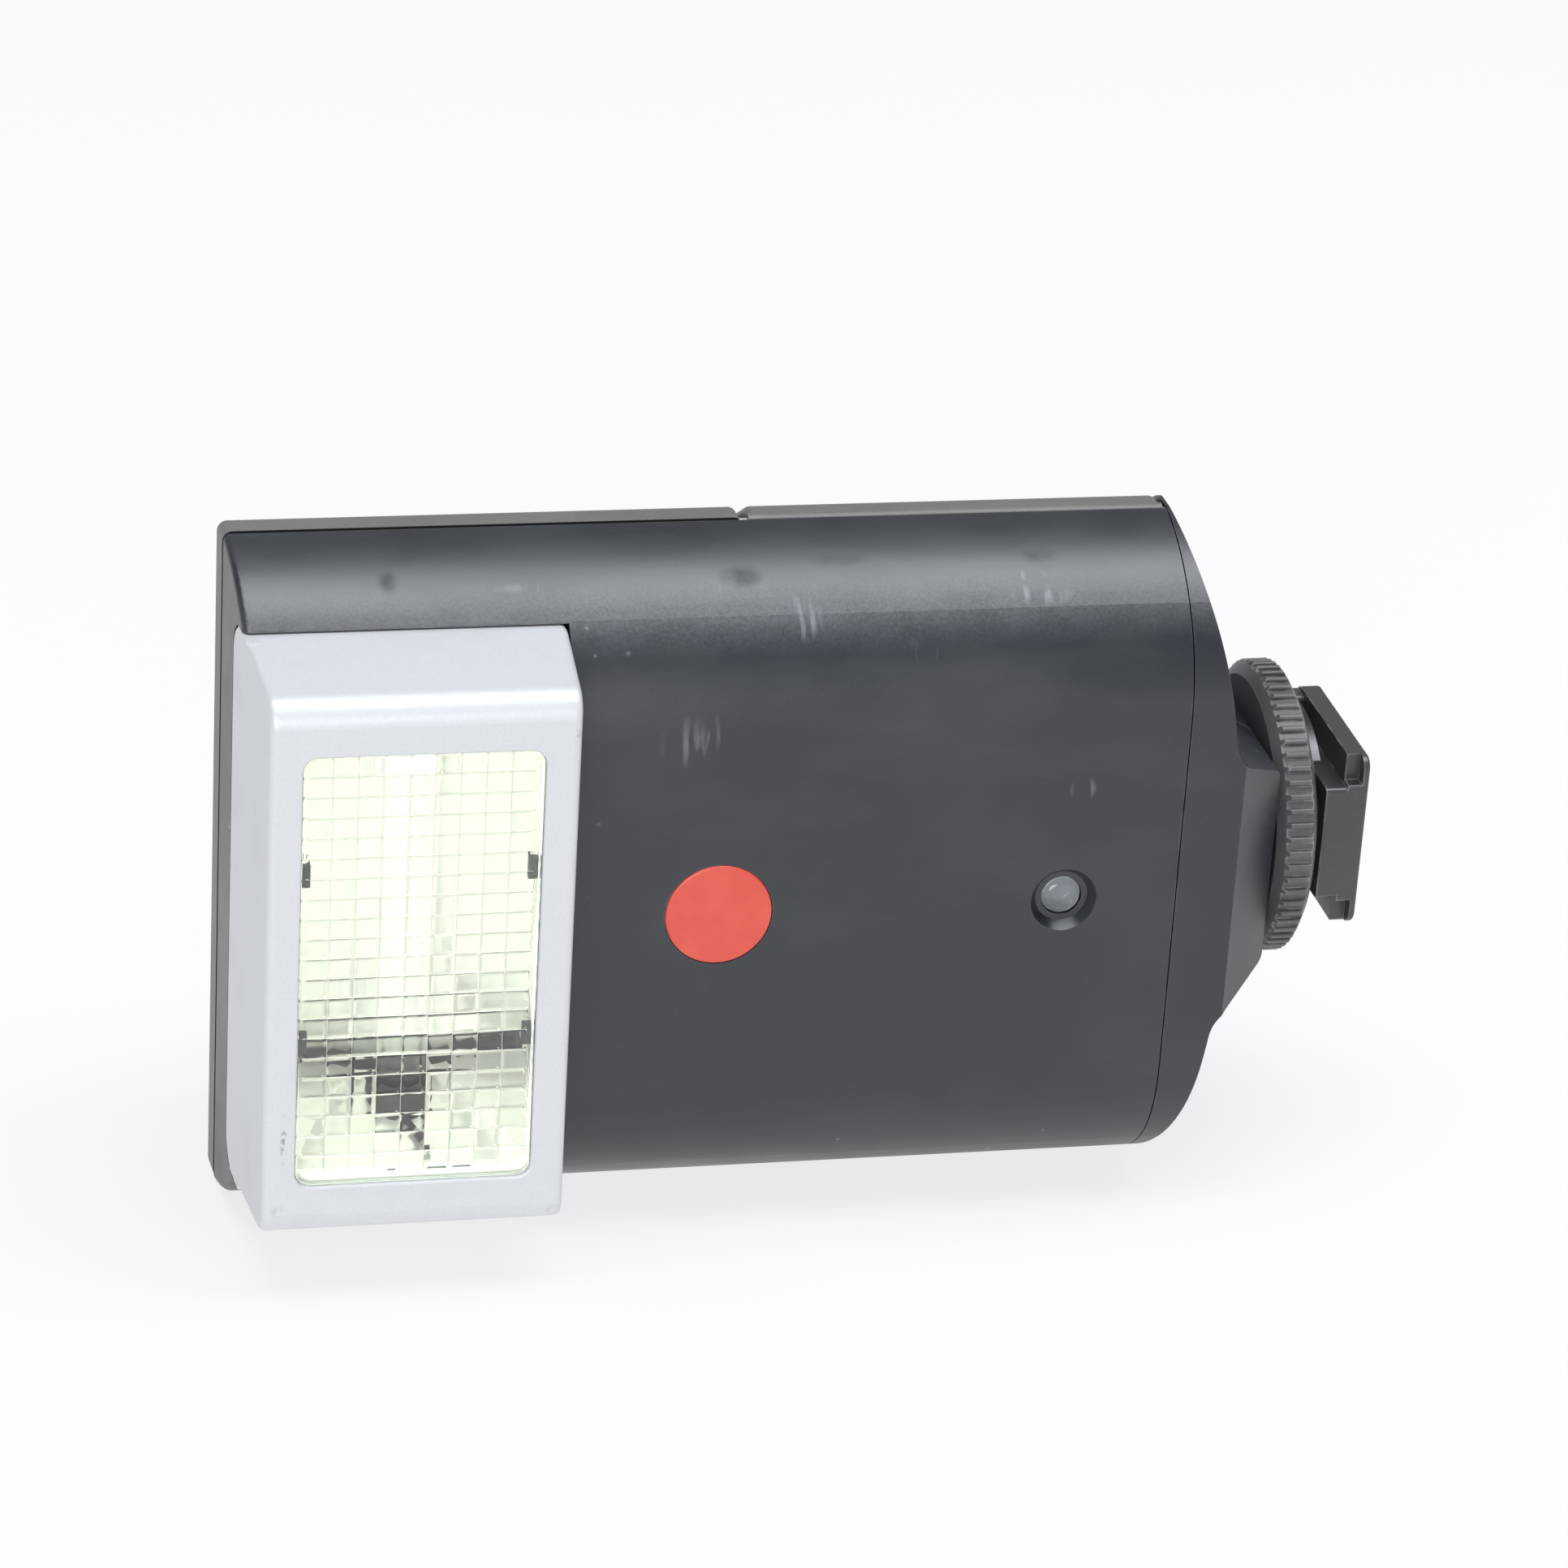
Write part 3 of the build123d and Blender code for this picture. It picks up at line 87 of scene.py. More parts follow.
SKY_COLOUR = (0.95, 0.97, 1.0, 1)
SKY_STRENGTH = 0.42
FLOOR_SIZE = 6
FLOOR_COLOUR = (0.15, 0.151, 0.153, 1)
FLOOR_GLOW_COLOUR = (0.985, 0.99, 1, 1)
FLOOR_GLOW = 0.79           # even light of the floor's own, which keeps the shadows faint


def add_camera():
    """Camera at the photograph's viewing angle, looking back along the line from CAMERA_AIM."""
    back = Vector((
        math.sin(CAMERA_AZIMUTH) * math.cos(CAMERA_ELEVATION),
        -math.cos(CAMERA_AZIMUTH) * math.cos(CAMERA_ELEVATION),
        math.sin(CAMERA_ELEVATION),
    ))
    data = bpy.data.cameras.new("camera")
    data.sensor_width = SENSOR
    data.lens = FOCAL
    data.shift_x, data.shift_y = CAMERA_SHIFT
    data.clip_start = CLIP_NEAR
    data.clip_end = CLIP_FAR
    camera = bpy.data.objects.new("camera", data)
    bpy.context.scene.collection.objects.link(camera)
    camera.rotation_mode = "QUATERNION"
    level = (-back).to_track_quat("-Z", "Y").to_matrix()
    roll = Matrix.Rotation(CAMERA_ROLL, 3, "Z")
    camera.rotation_quaternion = (level @ roll).to_quaternion()
    camera.location = CAMERA_AIM + back * CAMERA_DISTANCE
    bpy.context.scene.camera = camera


def add_area_light(name, location, size, size_y, power, colour, aim):
    """Rectangular lamp in metres and watts, facing the point it is aimed at."""
    data = bpy.data.lights.new(name, "AREA")
    data.shape = "RECTANGLE"
    data.size = size
    data.size_y = size_y
    data.energy = power
    data.color = colour
    light = bpy.data.objects.new(name, data)
    bpy.context.scene.collection.objects.link(light)
    light.location = location
    light.rotation_mode = "QUATERNION"
    light.rotation_quaternion = (Vector(location) - Vector(aim)).to_track_quat("Z", "Y")


def add_world():
    world = bpy.data.worlds.new("studio")
    bpy.context.scene.world = world
    world.use_nodes = True
    background = world.node_tree.nodes["Background"]
    background.inputs["Color"].default_value = SKY_COLOUR
    background.inputs["Strength"].default_value = SKY_STRENGTH


def add_floor():
    bpy.ops.mesh.primitive_plane_add(size=FLOOR_SIZE, location=(0, 0, 0))
    floor = bpy.context.object
    floor.name = "floor"
    material = bpy.data.materials.new("floor_paper")
    material.use_nodes = True
    shader = material.node_tree.nodes["Principled BSDF"]
    shader.inputs["Base Color"].default_value = FLOOR_COLOUR
    shader.inputs["Roughness"].default_value = 0.9
    shader.inputs["Specular IOR Level"].default_value = 0.0
    shader.inputs["Emission Color"].default_value = FLOOR_GLOW_COLOUR
    shader.inputs["Emission Strength"].default_value = FLOOR_GLOW
    floor.data.materials.append(material)


add_camera()
add_world()
add_floor()
add_area_light(
    "top_softbox", location=(0.15, -0.09, 1.0), size=1.2, size_y=0.48, power=11.6,
    colour=(0.93, 0.972, 1), aim=(0.15, -0.09, 0),
)
add_area_light(
    "window_light", location=(-0.45, -1.42, 0.3), size=0.8, size_y=0.6, power=13.4,
    colour=(0.97, 0.98, 1), aim=(0, 0, 0.03),
)
bpy.context.scene.view_settings.view_transform = "Standard"


# --- material kit -----------------------------------------------------------------------------
class Surface:
    """One procedural material: a Principled shader and short calls that wire its nodes."""

    def __init__(self, name, colour, roughness, metallic=0.0, specular=0.5):
        self.material = bpy.data.materials.new(name)
        self.material.use_nodes = True
        self.tree = self.material.node_tree
        self.shader = self.tree.nodes["Principled BSDF"]
        self.shader.inputs["Base Color"].default_value = (*colour, 1)
        self.shader.inputs["Roughness"].default_value = roughness
        self.shader.inputs["Metallic"].default_value = metallic
        self.shader.inputs["Specular IOR Level"].default_value = specular
        self.colour = colour
        self.roughness = roughness
        self.colour_link = None
        self.rough_link = None
        self.height_links = []
        self.coordinates = self.tree.nodes.new("ShaderNodeTexCoord").outputs["Object"]

    def node(self, kind, **settings):
        made = self.tree.nodes.new(kind)
        for key, value in settings.items():
            setattr(made, key, value)
        return made

    def link(self, source, target):
        self.tree.links.new(source, target)

    def math(self, operation, first, second=0.0, clamp=False):
        made = self.node("ShaderNodeMath", operation=operation, use_clamp=clamp)
        for socket, value in zip(made.inputs, (first, second)):
            if isinstance(value, (int, float)):
                socket.default_value = value
            else:
                self.link(value, socket)
        return made.outputs[0]

    def mapped(self, scale=(1, 1, 1), rotation=(0, 0, 0)):
        mapping = self.node("ShaderNodeMapping")
        mapping.inputs["Scale"].default_value = scale
        mapping.inputs["Rotation"].default_value = rotation
        self.link(self.coordinates, mapping.inputs["Vector"])
        return mapping.outputs[0]

    def noise(self, scale, detail=4.0, vector=None, rough=0.5):
        made = self.node("ShaderNodeTexNoise")
        made.inputs["Scale"].default_value = scale
        made.inputs["Detail"].default_value = detail
        made.inputs["Roughness"].default_value = rough
        self.link(vector if vector is not None else self.coordinates, made.inputs["Vector"])
        return made.outputs["Fac"]

    def ramp(self, source, low, high, start=0.0, end=1.0):
        made = self.node("ShaderNodeMapRange", clamp=True)
        made.inputs["From Min"].default_value = low
        made.inputs["From Max"].default_value = high
        made.inputs["To Min"].default_value = start
        made.inputs["To Max"].default_value = end
        self.link(source, made.inputs["Value"])
        return made.outputs[0]

    def edge_mask(self, radius, low=0.02, high=0.25):
        """1 on sharp edges and 0 on flat ground, from a rounded normal against the real one."""
        bevel = self.node("ShaderNodeBevel", samples=4)
        bevel.inputs["Radius"].default_value = radius
        geometry = self.node("ShaderNodeNewGeometry")
        dot = self.node("ShaderNodeVectorMath", operation="DOT_PRODUCT")
        self.link(bevel.outputs[0], dot.inputs[0])
        self.link(geometry.outputs["Normal"], dot.inputs[1])
        return self.ramp(self.math("SUBTRACT", 1.0, dot.outputs["Value"]), low, high)

    def blot(self, centre, size, edge):
        """Ellipsoid mask round a point, half sizes in mm; the outer share called edge is soft."""
        offset = self.node("ShaderNodeVectorMath", operation="SUBTRACT")
        self.link(self.coordinates, offset.inputs[0])
        offset.inputs[1].default_value = centre
        scaled = self.node("ShaderNodeVectorMath", operation="MULTIPLY")
        self.link(offset.outputs[0], scaled.inputs[0])
        scaled.inputs[1].default_value = [1 / (s * MM) for s in size]
        length = self.node("ShaderNodeVectorMath", operation="LENGTH")
        self.link(scaled.outputs[0], length.inputs[0])
        return self.ramp(length.outputs["Value"], 1.0, 1.0 - edge)

    def tint(self, mask, colour, amount=1.0):
        """Lay a colour over what is there, where the mask says."""
        mix = self.node("ShaderNodeMix", data_type="RGBA")
        self.link(self.math("MULTIPLY", mask, amount, clamp=True), mix.inputs["Factor"])
        if self.colour_link is None:
            mix.inputs["A"].default_value = (*self.colour, 1)
        else:
            self.link(self.colour_link, mix.inputs["A"])
        mix.inputs["B"].default_value = (*colour, 1)
        self.colour_link = mix.outputs["Result"]

    def roughen(self, mask, value, amount=1.0):
        """Move the roughness towards a value where the mask says."""
        mix = self.node("ShaderNodeMix", data_type="FLOAT")
        self.link(self.math("MULTIPLY", mask, amount, clamp=True), mix.inputs["Factor"])
        if self.rough_link is None:
            mix.inputs["A"].default_value = self.roughness
        else:
            self.link(self.rough_link, mix.inputs["A"])
        mix.inputs["B"].default_value = value
        self.rough_link = mix.outputs["Result"]

    def raise_by(self, height, millimetres):
        self.height_links.append(self.math("MULTIPLY", height, millimetres * MM))

    def done(self):
        """Wire what the calls above made into the shader and return the material."""
        if self.colour_link is not None:
            self.link(self.colour_link, self.shader.inputs["Base Color"])
        if self.rough_link is not None:
            self.link(self.rough_link, self.shader.inputs["Roughness"])
        if self.height_links:
            total = self.height_links[0]
            for height in self.height_links[1:]:
                total = self.math("ADD", total, height)
            bump = self.node("ShaderNodeBump")
            bump.inputs["Distance"].default_value = 1.0
            bump.inputs["Strength"].default_value = 1.0
            self.link(total, bump.inputs["Height"])
            self.link(bump.outputs[0], self.shader.inputs["Normal"])
        return self.material


def plastic(name, colour, roughness, grain=0.01, wear=(0.2, 0.2, 0.2), wear_amount=0.3,
            specular=0.5):
    """Moulded plastic: fine grain, faint cloudy dirt and paler worn edges."""
    s = Surface(name, colour, roughness, specular=specular)
    fine = s.noise(2600, 2.0)
    cloud = s.noise(55, 5.0)
    s.tint(s.ramp(cloud, 0.45, 0.75), [min(1, c * 1.35 + 0.01) for c in colour], 0.6)
    s.tint(s.ramp(fine, 0.5, 0.8), [min(1, c * 1.5 + 0.01) for c in colour], 0.35)
    worn = s.math("MULTIPLY", s.edge_mask(0.35 * MM), s.ramp(s.noise(420, 4.0), 0.45, 0.62))
    s.tint(worn, wear, wear_amount)
    s.roughen(s.ramp(cloud, 0.35, 0.7), min(1, roughness + 0.12), 0.8)
    s.raise_by(fine, grain)
    return s


def metal(name, colour, roughness, scratch=0.4):
    """Bare or plated metal with fine scratches and a cloudy sheen."""
    s = Surface(name, colour, roughness, metallic=1.0)
    lines = s.noise(900, 3.0, s.mapped((0.15, 1.0, 1.0)))
    cloud = s.noise(90, 4.0)
    s.tint(s.ramp(cloud, 0.5, 0.8), [c * 0.72 for c in colour], 0.5)
    s.roughen(s.ramp(lines, 0.4, 0.7), min(1, roughness + 0.2), scratch)
    s.raise_by(lines, 0.002)
    return s


# --- materials --------------------------------------------------------------------------------
SEAM_DEPTH = 24.5           # where the front and rear shells meet, back from the bezel's front, mm


def paint_seam_shade(s):
    """Painted shade: near-black colour in the groove round the case, and a thin line of it on both
    lips.
    """
    line = s.blot(place(46, SEAM_DEPTH, 0), (400, 0.34, 400), 0.25)
    s.tint(line, (0.003, 0.003, 0.003), 1.0)
    s.roughen(line, 0.95, 1.0)


def make_shell():
    """Black case: satin grain, grey rubs and a painted highlight along the top curve, scratches and
    a few pale specks.
    """
    s = plastic("shell_black", (0.006, 0.009, 0.014), 0.32, grain=0.006, wear=(0.1, 0.1, 0.1),
                wear_amount=0.5, specular=0.78)
    smear = s.noise(130, 5.0, s.mapped((0.35, 1.0, 1.0)))
    s.tint(s.ramp(smear, 0.52, 0.74), (0.024, 0.026, 0.03), 0.5)
    s.roughen(s.ramp(smear, 0.5, 0.72), 0.45, 0.6)
    # grey rubbing along the curve of the long side, which is also a painted highlight: it lightens
    # the band where the top light reflects
    rub_and_highlight = s.blot(place(46, 13.8, 30.2), (95, 4.4, 4.8), 0.8)
    dust = s.ramp(s.noise(240, 7.0, rough=0.68), 0.36, 0.66)
    grit = s.ramp(s.noise(3400, 3.0, rough=0.7), 0.42, 0.6)
    s.tint(s.math("MULTIPLY", rub_and_highlight, dust), (0.07, 0.076, 0.086), 0.4)
    s.tint(s.math("MULTIPLY", rub_and_highlight, grit), (0.1, 0.108, 0.12), 0.35)
    s.roughen(rub_and_highlight, 0.42, 0.6)
    s.raise_by(s.math("MULTIPLY", s.noise(1900, 3.0, rough=0.7), rub_and_highlight), 0.012)
    smudges = (
        (place(49.0, 16.5, 32.6), (2.6, 2.2, 1.4)),
        (place(58.6, 18.4, 33.4), (3.4, 1.6, 1.0)),
        (place(78.5, 18.4, 33.4), (2.2, 1.6, 1.2)),
        (place(15.0, 17.5, 33.0), (1.2, 2.6, 1.8)),
    )
    for centre, size in smudges:
        s.roughen(s.math("MULTIPLY", s.blot(centre, size, 0.7), dust), 0.75, 0.9)
    strokes = s.noise(760, 3.0, s.mapped((1.0, 0.16, 0.16), (0, 0.5, 0)))
    broken = s.ramp(strokes, 0.5, 0.62)
    rubs = (
        (place(55.0, 13.2, 29.2), (1.7, 2.4, 2.6), 0.6),
        (place(53.6, 14.8, 30.8), (2.2, 1.4, 1.4), 0.4),
        (place(78.2, 14.6, 30.6), (3.4, 1.6, 1.2), 0.6),
        (place(77.6, 16.2, 32.0), (2.4, 0.9, 0.7), 0.5),
        (place(44.5, 9.4, 18.4), (4.4, 1.2, 3.2), 0.35),
        (place(82.5, 9.4, 12.0), (1.4, 0.8, 1.5), 0.6),
        (place(66.0, 11.6, 26.4), (2.6, 1.6, 1.2), 0.3),
        (place(28.0, 16.4, 32.2), (4.0, 0.8, 0.7), 0.35),
        (place(92.6, 14.0, 30.8), (0.4, 1.2, 1.0), 0.8),
    )
    for centre, size, amount in rubs:
        s.tint(s.math("MULTIPLY", s.blot(centre, size, 0.8), broken), (0.3, 0.31, 0.34), amount)
    specks = s.node("ShaderNodeTexVoronoi")
    specks.inputs["Scale"].default_value = 330
    s.link(s.coordinates, specks.inputs["Vector"])
    sparse = s.ramp(s.noise(60, 2.0), 0.6, 0.7)
    dots = s.ramp(specks.outputs["Distance"], 0.1, 0.05)
    s.tint(s.math("MULTIPLY", dots, sparse), (0.4, 0.4, 0.4), 0.6)
    # painted shade along the seam between the shells
    paint_seam_shade(s)
    return s.done()


def make_rear_shell():
    """Back half of the case: the same plastic in a lighter warm grey, duller and rubbed along its
    rim.
    """
    s = plastic("shell_grey", (0.118, 0.115, 0.109), 0.42, grain=0.006, wear=(0.3, 0.29, 0.27),
                wear_amount=0.5, specular=0.6)
    smear = s.noise(150, 5.0, s.mapped((0.3, 1.0, 1.0)))
    s.tint(s.ramp(smear, 0.48, 0.7), (0.15, 0.146, 0.138), 0.6)
    s.roughen(s.ramp(smear, 0.5, 0.72), 0.52, 0.6)
    scratch = s.noise(820, 3.0, s.mapped((0.12, 1.0, 1.0)))
    s.tint(s.ramp(scratch, 0.62, 0.7), (0.24, 0.235, 0.225), 0.16)
    # painted shade along the seam between the shells
    paint_seam_shade(s)
    return s.done()


def make_bezel():
    """Satin silver paint: fine sparkle, soft smudges, dark chips at the corners."""
    s = Surface("bezel_silver", (0.575, 0.588, 0.608), 0.4, metallic=0.2)
    fine = s.noise(3200, 2.0)
    s.tint(s.ramp(fine, 0.45, 0.7), (0.625, 0.637, 0.65), 0.5)
    smudge = s.noise(120, 5.0)
    s.tint(s.ramp(smudge, 0.55, 0.78), (0.43, 0.438, 0.458), 0.3)
    s.roughen(s.ramp(smudge, 0.4, 0.7), 0.44, 0.7)
    chips = s.ramp(s.noise(700, 4.0), 0.62, 0.68)
    s.tint(s.math("MULTIPLY", s.edge_mask(0.4 * MM), chips), (0.2, 0.2, 0.21), 0.55)
    marks = (
        (place(3.9, 0.0, -17.4), (0.42, 1.0, 3.2), 0.75),
        (place(3.4, 0.0, -25.0), (0.8, 1.0, 0.9), 0.35),
        (place(30.2, 0.0, -26.8), (0.8, 1.0, 1.0), 0.6),
        (place(30.6, 0.4, 24.0), (0.5, 1.0, 0.9), 0.45),
    )
    grit = s.ramp(s.noise(1500, 4.0), 0.48, 0.56)
    for centre, size, amount in marks:
        s.tint(s.math("MULTIPLY", s.blot(centre, size, 0.9), grit), (0.16, 0.16, 0.17), amount)
    s.raise_by(fine, 0.003)
    return s.done()


def make_glass(name, colour, roughness=0.02, ior=1.49):
    """Clear plastic or glass; lamps shine through it, so that what is behind it is lit."""
    s = Surface(name, colour, roughness)
    s.shader.inputs["Transmission Weight"].default_value = 1.0
    s.shader.inputs["IOR"].default_value = ior
    smear = s.noise(150, 4.0)
    s.roughen(s.ramp(smear, 0.55, 0.75), roughness + 0.05, 0.6)
    s.raise_by(s.noise(260, 2.0), 0.002)
    material = s.done()
    clear = s.node("ShaderNodeBsdfTransparent")
    clear.inputs["Color"].default_value = (0.96, 0.98, 0.93, 1)
    path = s.node("ShaderNodeLightPath")
    mix = s.node("ShaderNodeMixShader")
    output = s.tree.nodes["Material Output"]
    s.link(path.outputs["Is Shadow Ray"], mix.inputs[0])
    s.link(s.shader.outputs[0], mix.inputs[1])
    s.link(clear.outputs[0], mix.inputs[2])
    s.link(mix.outputs[0], output.inputs["Surface"])
    return material


def make_lens_line():
    """Milky plastic of the moulded grooves between the window's lenses."""
    s = Surface("lens_line", (0.86, 0.87, 0.78), 0.5)
    s.shader.inputs["Transmission Weight"].default_value = 0.55
    s.tint(s.ramp(s.noise(500, 4.0), 0.45, 0.7), (0.72, 0.74, 0.66), 0.6)
    s.raise_by(s.noise(1500, 2.0), 0.003)
    return s.done()


def make_window_edge():
    """Sawn edge of the window sheet, which carries a grey-green cast."""
    s = Surface("window_edge", (0.4, 0.48, 0.42), 0.35)
    s.shader.inputs["Transmission Weight"].default_value = 0.3
    s.tint(s.ramp(s.noise(600, 4.0, s.mapped((1.0, 4.0, 1.0))), 0.4, 0.7), (0.22, 0.28, 0.25), 0.7)
    s.raise_by(s.noise(1800, 2.0), 0.003)
    return s.done()


def make_reflector():
    """Bright metallised trough with a green cast and a slightly uneven surface."""
    s = Surface("reflector_mirror", (0.95, 0.965, 0.9), 0.2, metallic=0.72)
    cloud = s.noise(160, 4.0)
    s.tint(s.ramp(cloud, 0.5, 0.8), (0.8, 0.84, 0.76), 0.55)
    s.tint(s.ramp(s.noise(420, 4.0), 0.58, 0.7), (0.66, 0.72, 0.72), 0.35)
    s.roughen(s.ramp(cloud, 0.4, 0.7), 0.3, 0.7)
    s.raise_by(s.noise(330, 3.0), 0.02)
    return s.done()


def make_red():
    """Glossy red enamel disc, plain, with faint swirl marks."""
    s = Surface("badge_red", (0.6, 0.075, 0.05), 0.3)
    s.tint(s.ramp(s.noise(300, 4.0), 0.45, 0.75), (0.68, 0.11, 0.075), 0.6)
    s.roughen(s.ramp(s.noise(900, 3.0, s.mapped((0.2, 1, 1))), 0.45, 0.7), 0.42, 0.7)
    s.raise_by(s.noise(1500, 2.0), 0.002)
    return s.done()


def make_board():
    """Green solder mask over copper tracks."""
    s = Surface("board_green", (0.02, 0.16, 0.06), 0.35)
    brick = s.node("ShaderNodeTexBrick")
    brick.inputs["Scale"].default_value = 260
    brick.inputs["Mortar Size"].default_value = 0.03
    s.link(s.mapped(rotation=(math.pi / 2, 0, 0)), brick.inputs["Vector"])
    s.tint(brick.outputs["Fac"], (0.06, 0.3, 0.1), 0.8)
    s.tint(s.ramp(s.noise(900, 2.0), 0.6, 0.64), (0.5, 0.42, 0.2), 0.5)
    s.raise_by(brick.outputs["Fac"], 0.02)
    return s.done()


def make_thread():
    """Dark alloy with a fine thread cut round X."""
    s = metal("stem_alloy", (0.2, 0.2, 0.21), 0.3)
    wave = s.node("ShaderNodeTexWave", wave_type="BANDS", bands_direction="X", wave_profile="TRI")
    wave.inputs["Scale"].default_value = 600
    s.link(s.coordinates, wave.inputs["Vector"])
    s.raise_by(wave.outputs["Fac"], 0.12)
    return s.done()


def make_display():
    """Grey-green liquid-crystal glass with its segment electrodes just visible."""
    s = Surface("display_grey", (0.2, 0.23, 0.18), 0.25)
    brick = s.node("ShaderNodeTexBrick")
    brick.inputs["Scale"].default_value = 330
    brick.inputs["Mortar Size"].default_value = 0.06
    s.link(s.mapped(rotation=(math.pi / 2, 0, 0)), brick.inputs["Vector"])
    s.tint(brick.outputs["Fac"], (0.26, 0.29, 0.23), 0.5)
    s.tint(s.ramp(s.noise(120, 3.0), 0.5, 0.8), (0.15, 0.17, 0.14), 0.5)
    return s.done()


MATERIALS = {
    "shell_black": make_shell(),
    "bezel_silver": make_bezel(),
    "window_clear": make_glass("window_clear", (0.988, 0.994, 0.966)),
    "lens_line": make_lens_line(),
    "window_edge": make_window_edge(),
    "frame_white": plastic("frame_white", (0.9, 0.91, 0.85), 0.5,
                           wear=(0.5, 0.5, 0.45)).done(),
    "reflector_mirror": make_reflector(),
    "clip_dark": plastic("clip_dark", (0.03, 0.035, 0.035), 0.4).done(),
    "tube_glass": make_glass("tube_glass", (0.98, 0.99, 0.97), 0.01, 1.46),
    "electrode_steel": metal("electrode_steel", (0.55, 0.54, 0.52), 0.3).done(),
    "boot_rubber": plastic("boot_rubber", (0.02, 0.021, 0.022), 0.6, grain=0.02).done(),
    "wire_black": plastic("wire_black", (0.02, 0.021, 0.022), 0.45).done(),
    "badge_red": make_red(),
    "sensor_lens": make_glass("sensor_lens", (0.68, 0.7, 0.73), 0.05),
    "diode_black": plastic("diode_black", (0.2, 0.207, 0.218), 0.3, grain=0.002).done(),
    "board_green": make_board(),
    "transformer_dark": plastic("transformer_dark", (0.07, 0.05, 0.04), 0.45).done(),
    "coil_copper": metal("coil_copper", (0.62, 0.27, 0.12), 0.3).done(),
    "capacitor_sleeve": plastic("capacitor_sleeve", (0.03, 0.03, 0.05), 0.25).done(),
    "tray_black": plastic("tray_black", (0.03, 0.03, 0.03), 0.5).done(),
    "cell_wrap": plastic("cell_wrap", (0.62, 0.45, 0.08), 0.28,
                         wear=(0.8, 0.75, 0.6)).done(),
    "spring_steel": metal("spring_steel", (0.7, 0.69, 0.66), 0.22).done(),
    "display_grey": make_display(),
    "display_cover": make_glass("display_cover", (0.86, 0.88, 0.86), 0.03),
    "key_grey": plastic("key_grey", (0.09, 0.09, 0.095), 0.55, grain=0.02).done(),
    "button_grey": plastic("button_grey", (0.25, 0.25, 0.26), 0.4).done(),
    "lamp_amber": plastic("lamp_amber", (0.75, 0.2, 0.02), 0.2).done(),
    "switch_black": plastic("switch_black", (0.04, 0.04, 0.042), 0.42).done(),
    "screw_black": metal("screw_black", (0.12, 0.12, 0.12), 0.38).done(),
    "stem_alloy": make_thread(),
    "wheel_black": plastic("wheel_black", (0.06, 0.062, 0.064), 0.42, wear=(0.4, 0.4, 0.4),
                           wear_amount=0.9, specular=0.8).done(),
    "plate_alloy": metal("plate_alloy", (0.09, 0.09, 0.095), 0.3).done(),
    "pin_steel": metal("pin_steel", (0.62, 0.61, 0.58), 0.2).done(),
    "foot_black": plastic("foot_black", (0.024, 0.026, 0.028), 0.32, wear=(0.32, 0.32, 0.32),
                          wear_amount=0.7, specular=0.8).done(),
    "contact_gold": metal("contact_gold", (0.85, 0.62, 0.22), 0.22).done(),
}
NODE_MATERIALS = {"rear_shell": make_rear_shell(), "battery_door": make_rear_shell()}
node_slots = {entry["node"]: entry["material_slot"] for entry in frame["record"]["subparts"]}
for node_name, cad_object in nodes.items():
    cad_object.data.materials.clear()
    slot_material = MATERIALS[node_slots[node_name]]
    cad_object.data.materials.append(NODE_MATERIALS.get(node_name, slot_material))


# --- window with moulded lenses ---------------------------------------------------------------
WINDOW_FRONT = 0.3          # depths back from the bezel's front, mm
WINDOW_STEP = 1.5
WINDOW_BACK = 2.27
WINDOW_CORNER = 1.45
WINDOW_EDGE = 0.2           # rounding of the front edge
CORNER_STEPS = 8
EDGE_STEPS = 4
LENS_PITCH_X = 2.4
LENS_PITCH_Z = 2.1
LENS_COLUMNS = 9
LENS_ROWS = 21
GROOVE_HALF = 0.03
GROOVE_DEPTH = 0.032
LENS_BULGE = 0.0022
LENS_STEPS = 5
FLANGE_LIP = 0.85           # how far the flange goes past the pane that fills the opening
CLEAR, LINE, EDGE = 0, 1, 2  # the window's material slots


def rounded_loop(mesh, middle, half_x, half_z, corner, depth):
    """Vertices of a rounded rectangle that faces the front, in order."""
    loop = []
    for quarter in range(4):
        sign_x = (1, -1, -1, 1)[quarter]
        sign_z = (1, 1, -1, -1)[quarter]
        for step in range(CORNER_STEPS + 1):
            angle = math.pi / 2 * (quarter + step / CORNER_STEPS)
            across = middle + sign_x * (half_x - corner) + corner * math.cos(angle)
            up = sign_z * (half_z - corner) + corner * math.sin(angle)
            loop.append(mesh.verts.new(place(across, depth, up)))
    return loop


def join_loops(mesh, first, second, material=0):
    """Band of quads between two loops of the same length."""
    for index in range(len(first)):
        following = (index + 1) % len(first)
        face = mesh.faces.new((first[index], first[following], second[following], second[index]))
        face.material_index = material


def lens_samples(start, pitch, count):
    """Places across a row of lenses, each with its share of bulge and whether a groove has it."""
    samples = []
    for lens in range(count):
        left = start + lens * pitch
        for step in range(LENS_STEPS + 1):
            share = step / LENS_STEPS
            across = left + GROOVE_HALF + share * (pitch - 2 * GROOVE_HALF)
            samples.append((across, 4 * share * (1 - share), False))
        if lens < count - 1:
            samples.append((left + pitch, 0.0, True))
    return samples


